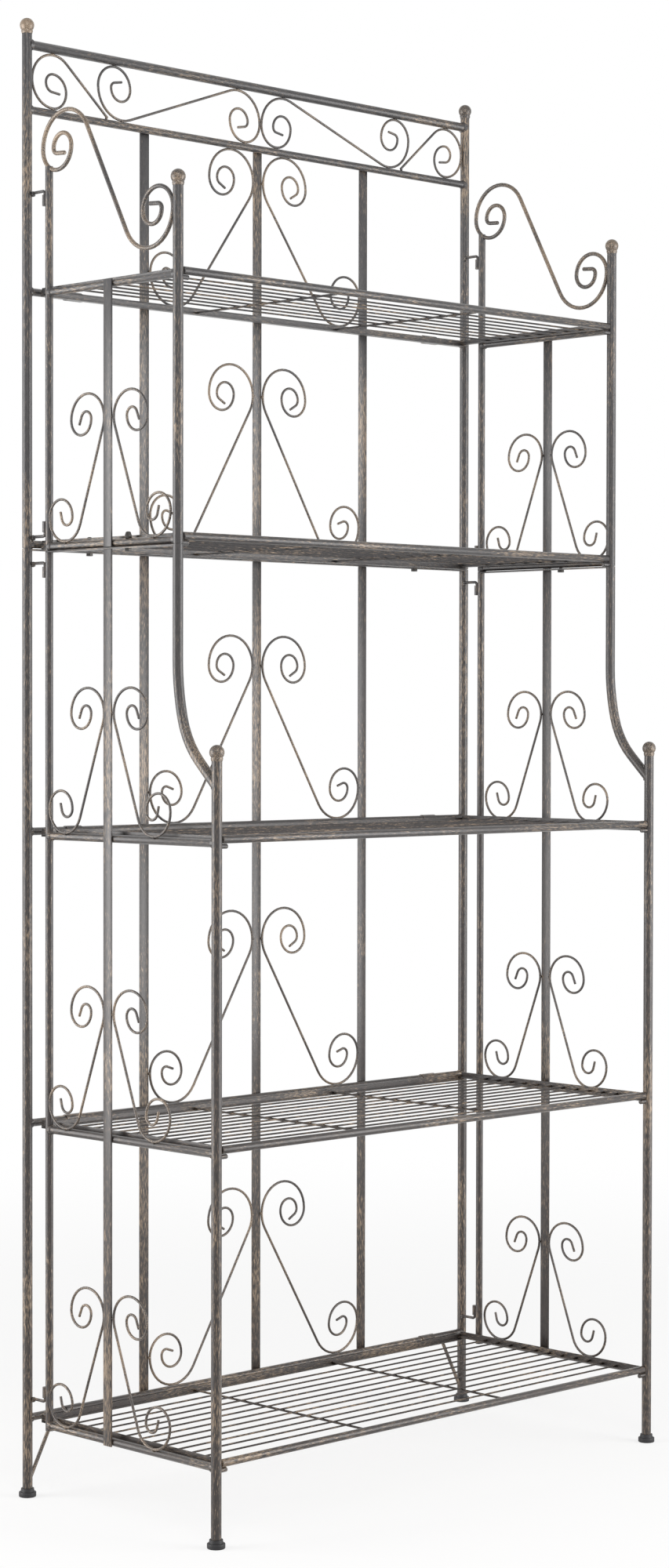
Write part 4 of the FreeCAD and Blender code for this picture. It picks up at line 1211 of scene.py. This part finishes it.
class RACK_OT_stage(RackMaker, bpy.types.Operator):
    """Pale floor, soft light and the camera"""

    bl_idname = "rack.stage"
    bl_label = "Stage"

    white = (1.0, 1.0, 1.0, 1.0)
    # How much of the floor's shade is lifted to white, and where its fade begins and ends
    shade_lift, fade_start, fade_share = 0.72, 0.5, 0.95
    # Each lamp's name, the setting that holds its power, its place and its size, and what all are aimed at
    lamps = (("key", "key", (-2.2, -2.4, 3.0), (1.8, 1.8)),
             ("left strip", "strip", (-2.3, 1.3, 1.0), (1.6, 2.2)),
             ("right strip", "strip", (1.3, -2.3, 1.0), (1.6, 2.2)))
    aim = Vector((0.0, 0.0, 0.95))
    # The camera's place, and its turns in radians
    stand, yaw, pitch, roll = (-2.95696, -2.98970, 1.01110), -0.7747, -0.0223, 0.0018

    def floor(self, stage):
        fresh()
        bpy.ops.mesh.primitive_circle_add(vertices=64, radius=stage.radius, fill_type="NGON")
        floor = open_mesh()
        close_mesh(floor)
        floor.name = "floor"
        material, tree = material_called("Pale paper sweep")
        place = node(tree, "ShaderNodeTexCoord").outputs["Object"]
        reach = node(tree, "ShaderNodeVectorMath", {0: place}, operation="LENGTH").outputs["Value"]
        fade = node(tree, "ShaderNodeMapRange", {
            "Value": reach, "From Min": self.fade_start, "From Max": stage.radius * self.fade_share},
            interpolation_type="SMOOTHSTEP")
        paper = node(tree, "ShaderNodeBsdfDiffuse", {"Color": linear(stage.floor)})
        glow = node(tree, "ShaderNodeEmission", {"Color": self.white, "Strength": 1.0})
        lift = node(tree, "ShaderNodeMath", {0: direct_rays(tree), 1: self.shade_lift}, operation="MULTIPLY")
        lit = node(tree, "ShaderNodeMixShader", {
            0: lift.outputs["Value"], 1: paper.outputs["BSDF"], 2: glow.outputs["Emission"]})
        clear = node(tree, "ShaderNodeBsdfTransparent")
        faded = node(tree, "ShaderNodeMixShader", {
            0: fade.outputs["Result"], 1: lit.outputs["Shader"], 2: clear.outputs["BSDF"]})
        node(tree, "ShaderNodeOutputMaterial", {"Surface": faded.outputs["Shader"]})
        coated([floor], material)

    def sky(self, stage):
        world = bpy.data.worlds.new("Studio")
        bpy.context.scene.world = world
        world.use_nodes = True
        tree = world.node_tree
        tree.nodes.clear()
        strength = node(tree, "ShaderNodeMapRange", {
            "Value": direct_rays(tree), "To Min": stage.sky, "To Max": 1.0})
        light = node(tree, "ShaderNodeBackground", {
            "Color": self.white, "Strength": strength.outputs["Result"]})
        node(tree, "ShaderNodeOutputWorld", {"Surface": light.outputs["Background"]})

    def lamp(self, name, place, power, size):
        fresh()
        way = self.aim - Vector(place)
        bpy.ops.object.light_add(type="AREA", location=place,
                                 rotation=way.to_track_quat("-Z", "Y").to_euler())
        lamp = bpy.context.object
        lamp.name = name
        lamp.data.energy = power
        lamp.data.shape = "RECTANGLE"
        lamp.data.size, lamp.data.size_y = size

    def camera(self, stage):
        yaw, pitch, roll = self.yaw, self.pitch, self.roll
        right = Vector((math.cos(yaw), math.sin(yaw), 0.0))
        level = Vector((-math.sin(yaw), math.cos(yaw), 0.0))
        ahead = level * math.cos(pitch) + UP * math.sin(pitch)
        above = UP * math.cos(pitch) - level * math.sin(pitch)
        rolled = right * math.cos(roll) + above * math.sin(roll)
        crown = above * math.cos(roll) - right * math.sin(roll)
        turn = Matrix((rolled, crown, -ahead)).transposed()
        fresh()
        bpy.ops.object.camera_add(location=self.stand, rotation=turn.to_euler())
        camera = bpy.context.object
        camera.data.sensor_width = 36.0
        camera.data.lens = stage.lens
        camera.data.clip_end = 50.0
        bpy.context.scene.camera = camera

    def execute(self, context):
        stage = context.scene.rack_stage
        self.floor(stage)
        self.sky(stage)
        for name, setting, place, size in self.lamps:
            self.lamp(name, place, getattr(stage, setting), size)
        self.camera(stage)
        context.scene.view_settings.view_transform = "Standard"
        return {"FINISHED"}


MAKERS = (RACK_OT_posts, RACK_OT_finials, RACK_OT_feet, RACK_OT_rails, RACK_OT_straps, RACK_OT_back_scrolls,
          RACK_OT_frieze, RACK_OT_side_scrolls, RACK_OT_crests, RACK_OT_shoulders, RACK_OT_hinges,
          RACK_OT_braces, RACK_OT_joint_hardware, RACK_OT_pegs, RACK_OT_shelves, RACK_OT_stage)
SETTINGS = {"rack_frame": RackFrameSizes, "rack_scrolls": RackScrollSizes, "rack_hardware": RackHardwareSizes,
            "rack_shelves": RackShelfSizes, "rack_finish": RackFinish, "rack_stage": RackStage}


class RACK_PT_panel(bpy.types.Panel):
    """Lists the pieces of the rack and their settings"""

    bl_idname = "RACK_PT_panel"
    bl_label = "Plant rack"
    bl_space_type = "VIEW_3D"
    bl_region_type = "UI"
    bl_category = "Plant rack"

    def draw(self, context):
        for maker in MAKERS:
            self.layout.operator(maker.bl_idname)
        for name, group in SETTINGS.items():
            box = self.layout.box()
            box.label(text=group.__doc__)
            for key in group.__annotations__:
                box.prop(getattr(context.scene, name), key)


def register():
    for group in (*SETTINGS.values(), *MAKERS, RACK_PT_panel):
        bpy.utils.register_class(group)
    for name, group in SETTINGS.items():
        setattr(bpy.types.Scene, name, PointerProperty(type=group))


def unregister():
    for name in SETTINGS:
        delattr(bpy.types.Scene, name)
    for group in (RACK_PT_panel, *MAKERS, *SETTINGS.values()):
        bpy.utils.unregister_class(group)


def main():
    register()
    bpy.ops.rack.posts()
    bpy.ops.rack.finials()
    bpy.ops.rack.feet()
    bpy.ops.rack.rails()
    bpy.ops.rack.straps()
    bpy.ops.rack.back_scrolls()
    bpy.ops.rack.frieze()
    bpy.ops.rack.side_scrolls()
    bpy.ops.rack.crests()
    bpy.ops.rack.shoulders()
    bpy.ops.rack.hinges()
    bpy.ops.rack.braces()
    bpy.ops.rack.joint_hardware()
    bpy.ops.rack.pegs()
    bpy.ops.rack.shelves()
    bpy.ops.rack.stage()


if __name__ == "__main__":
    main()
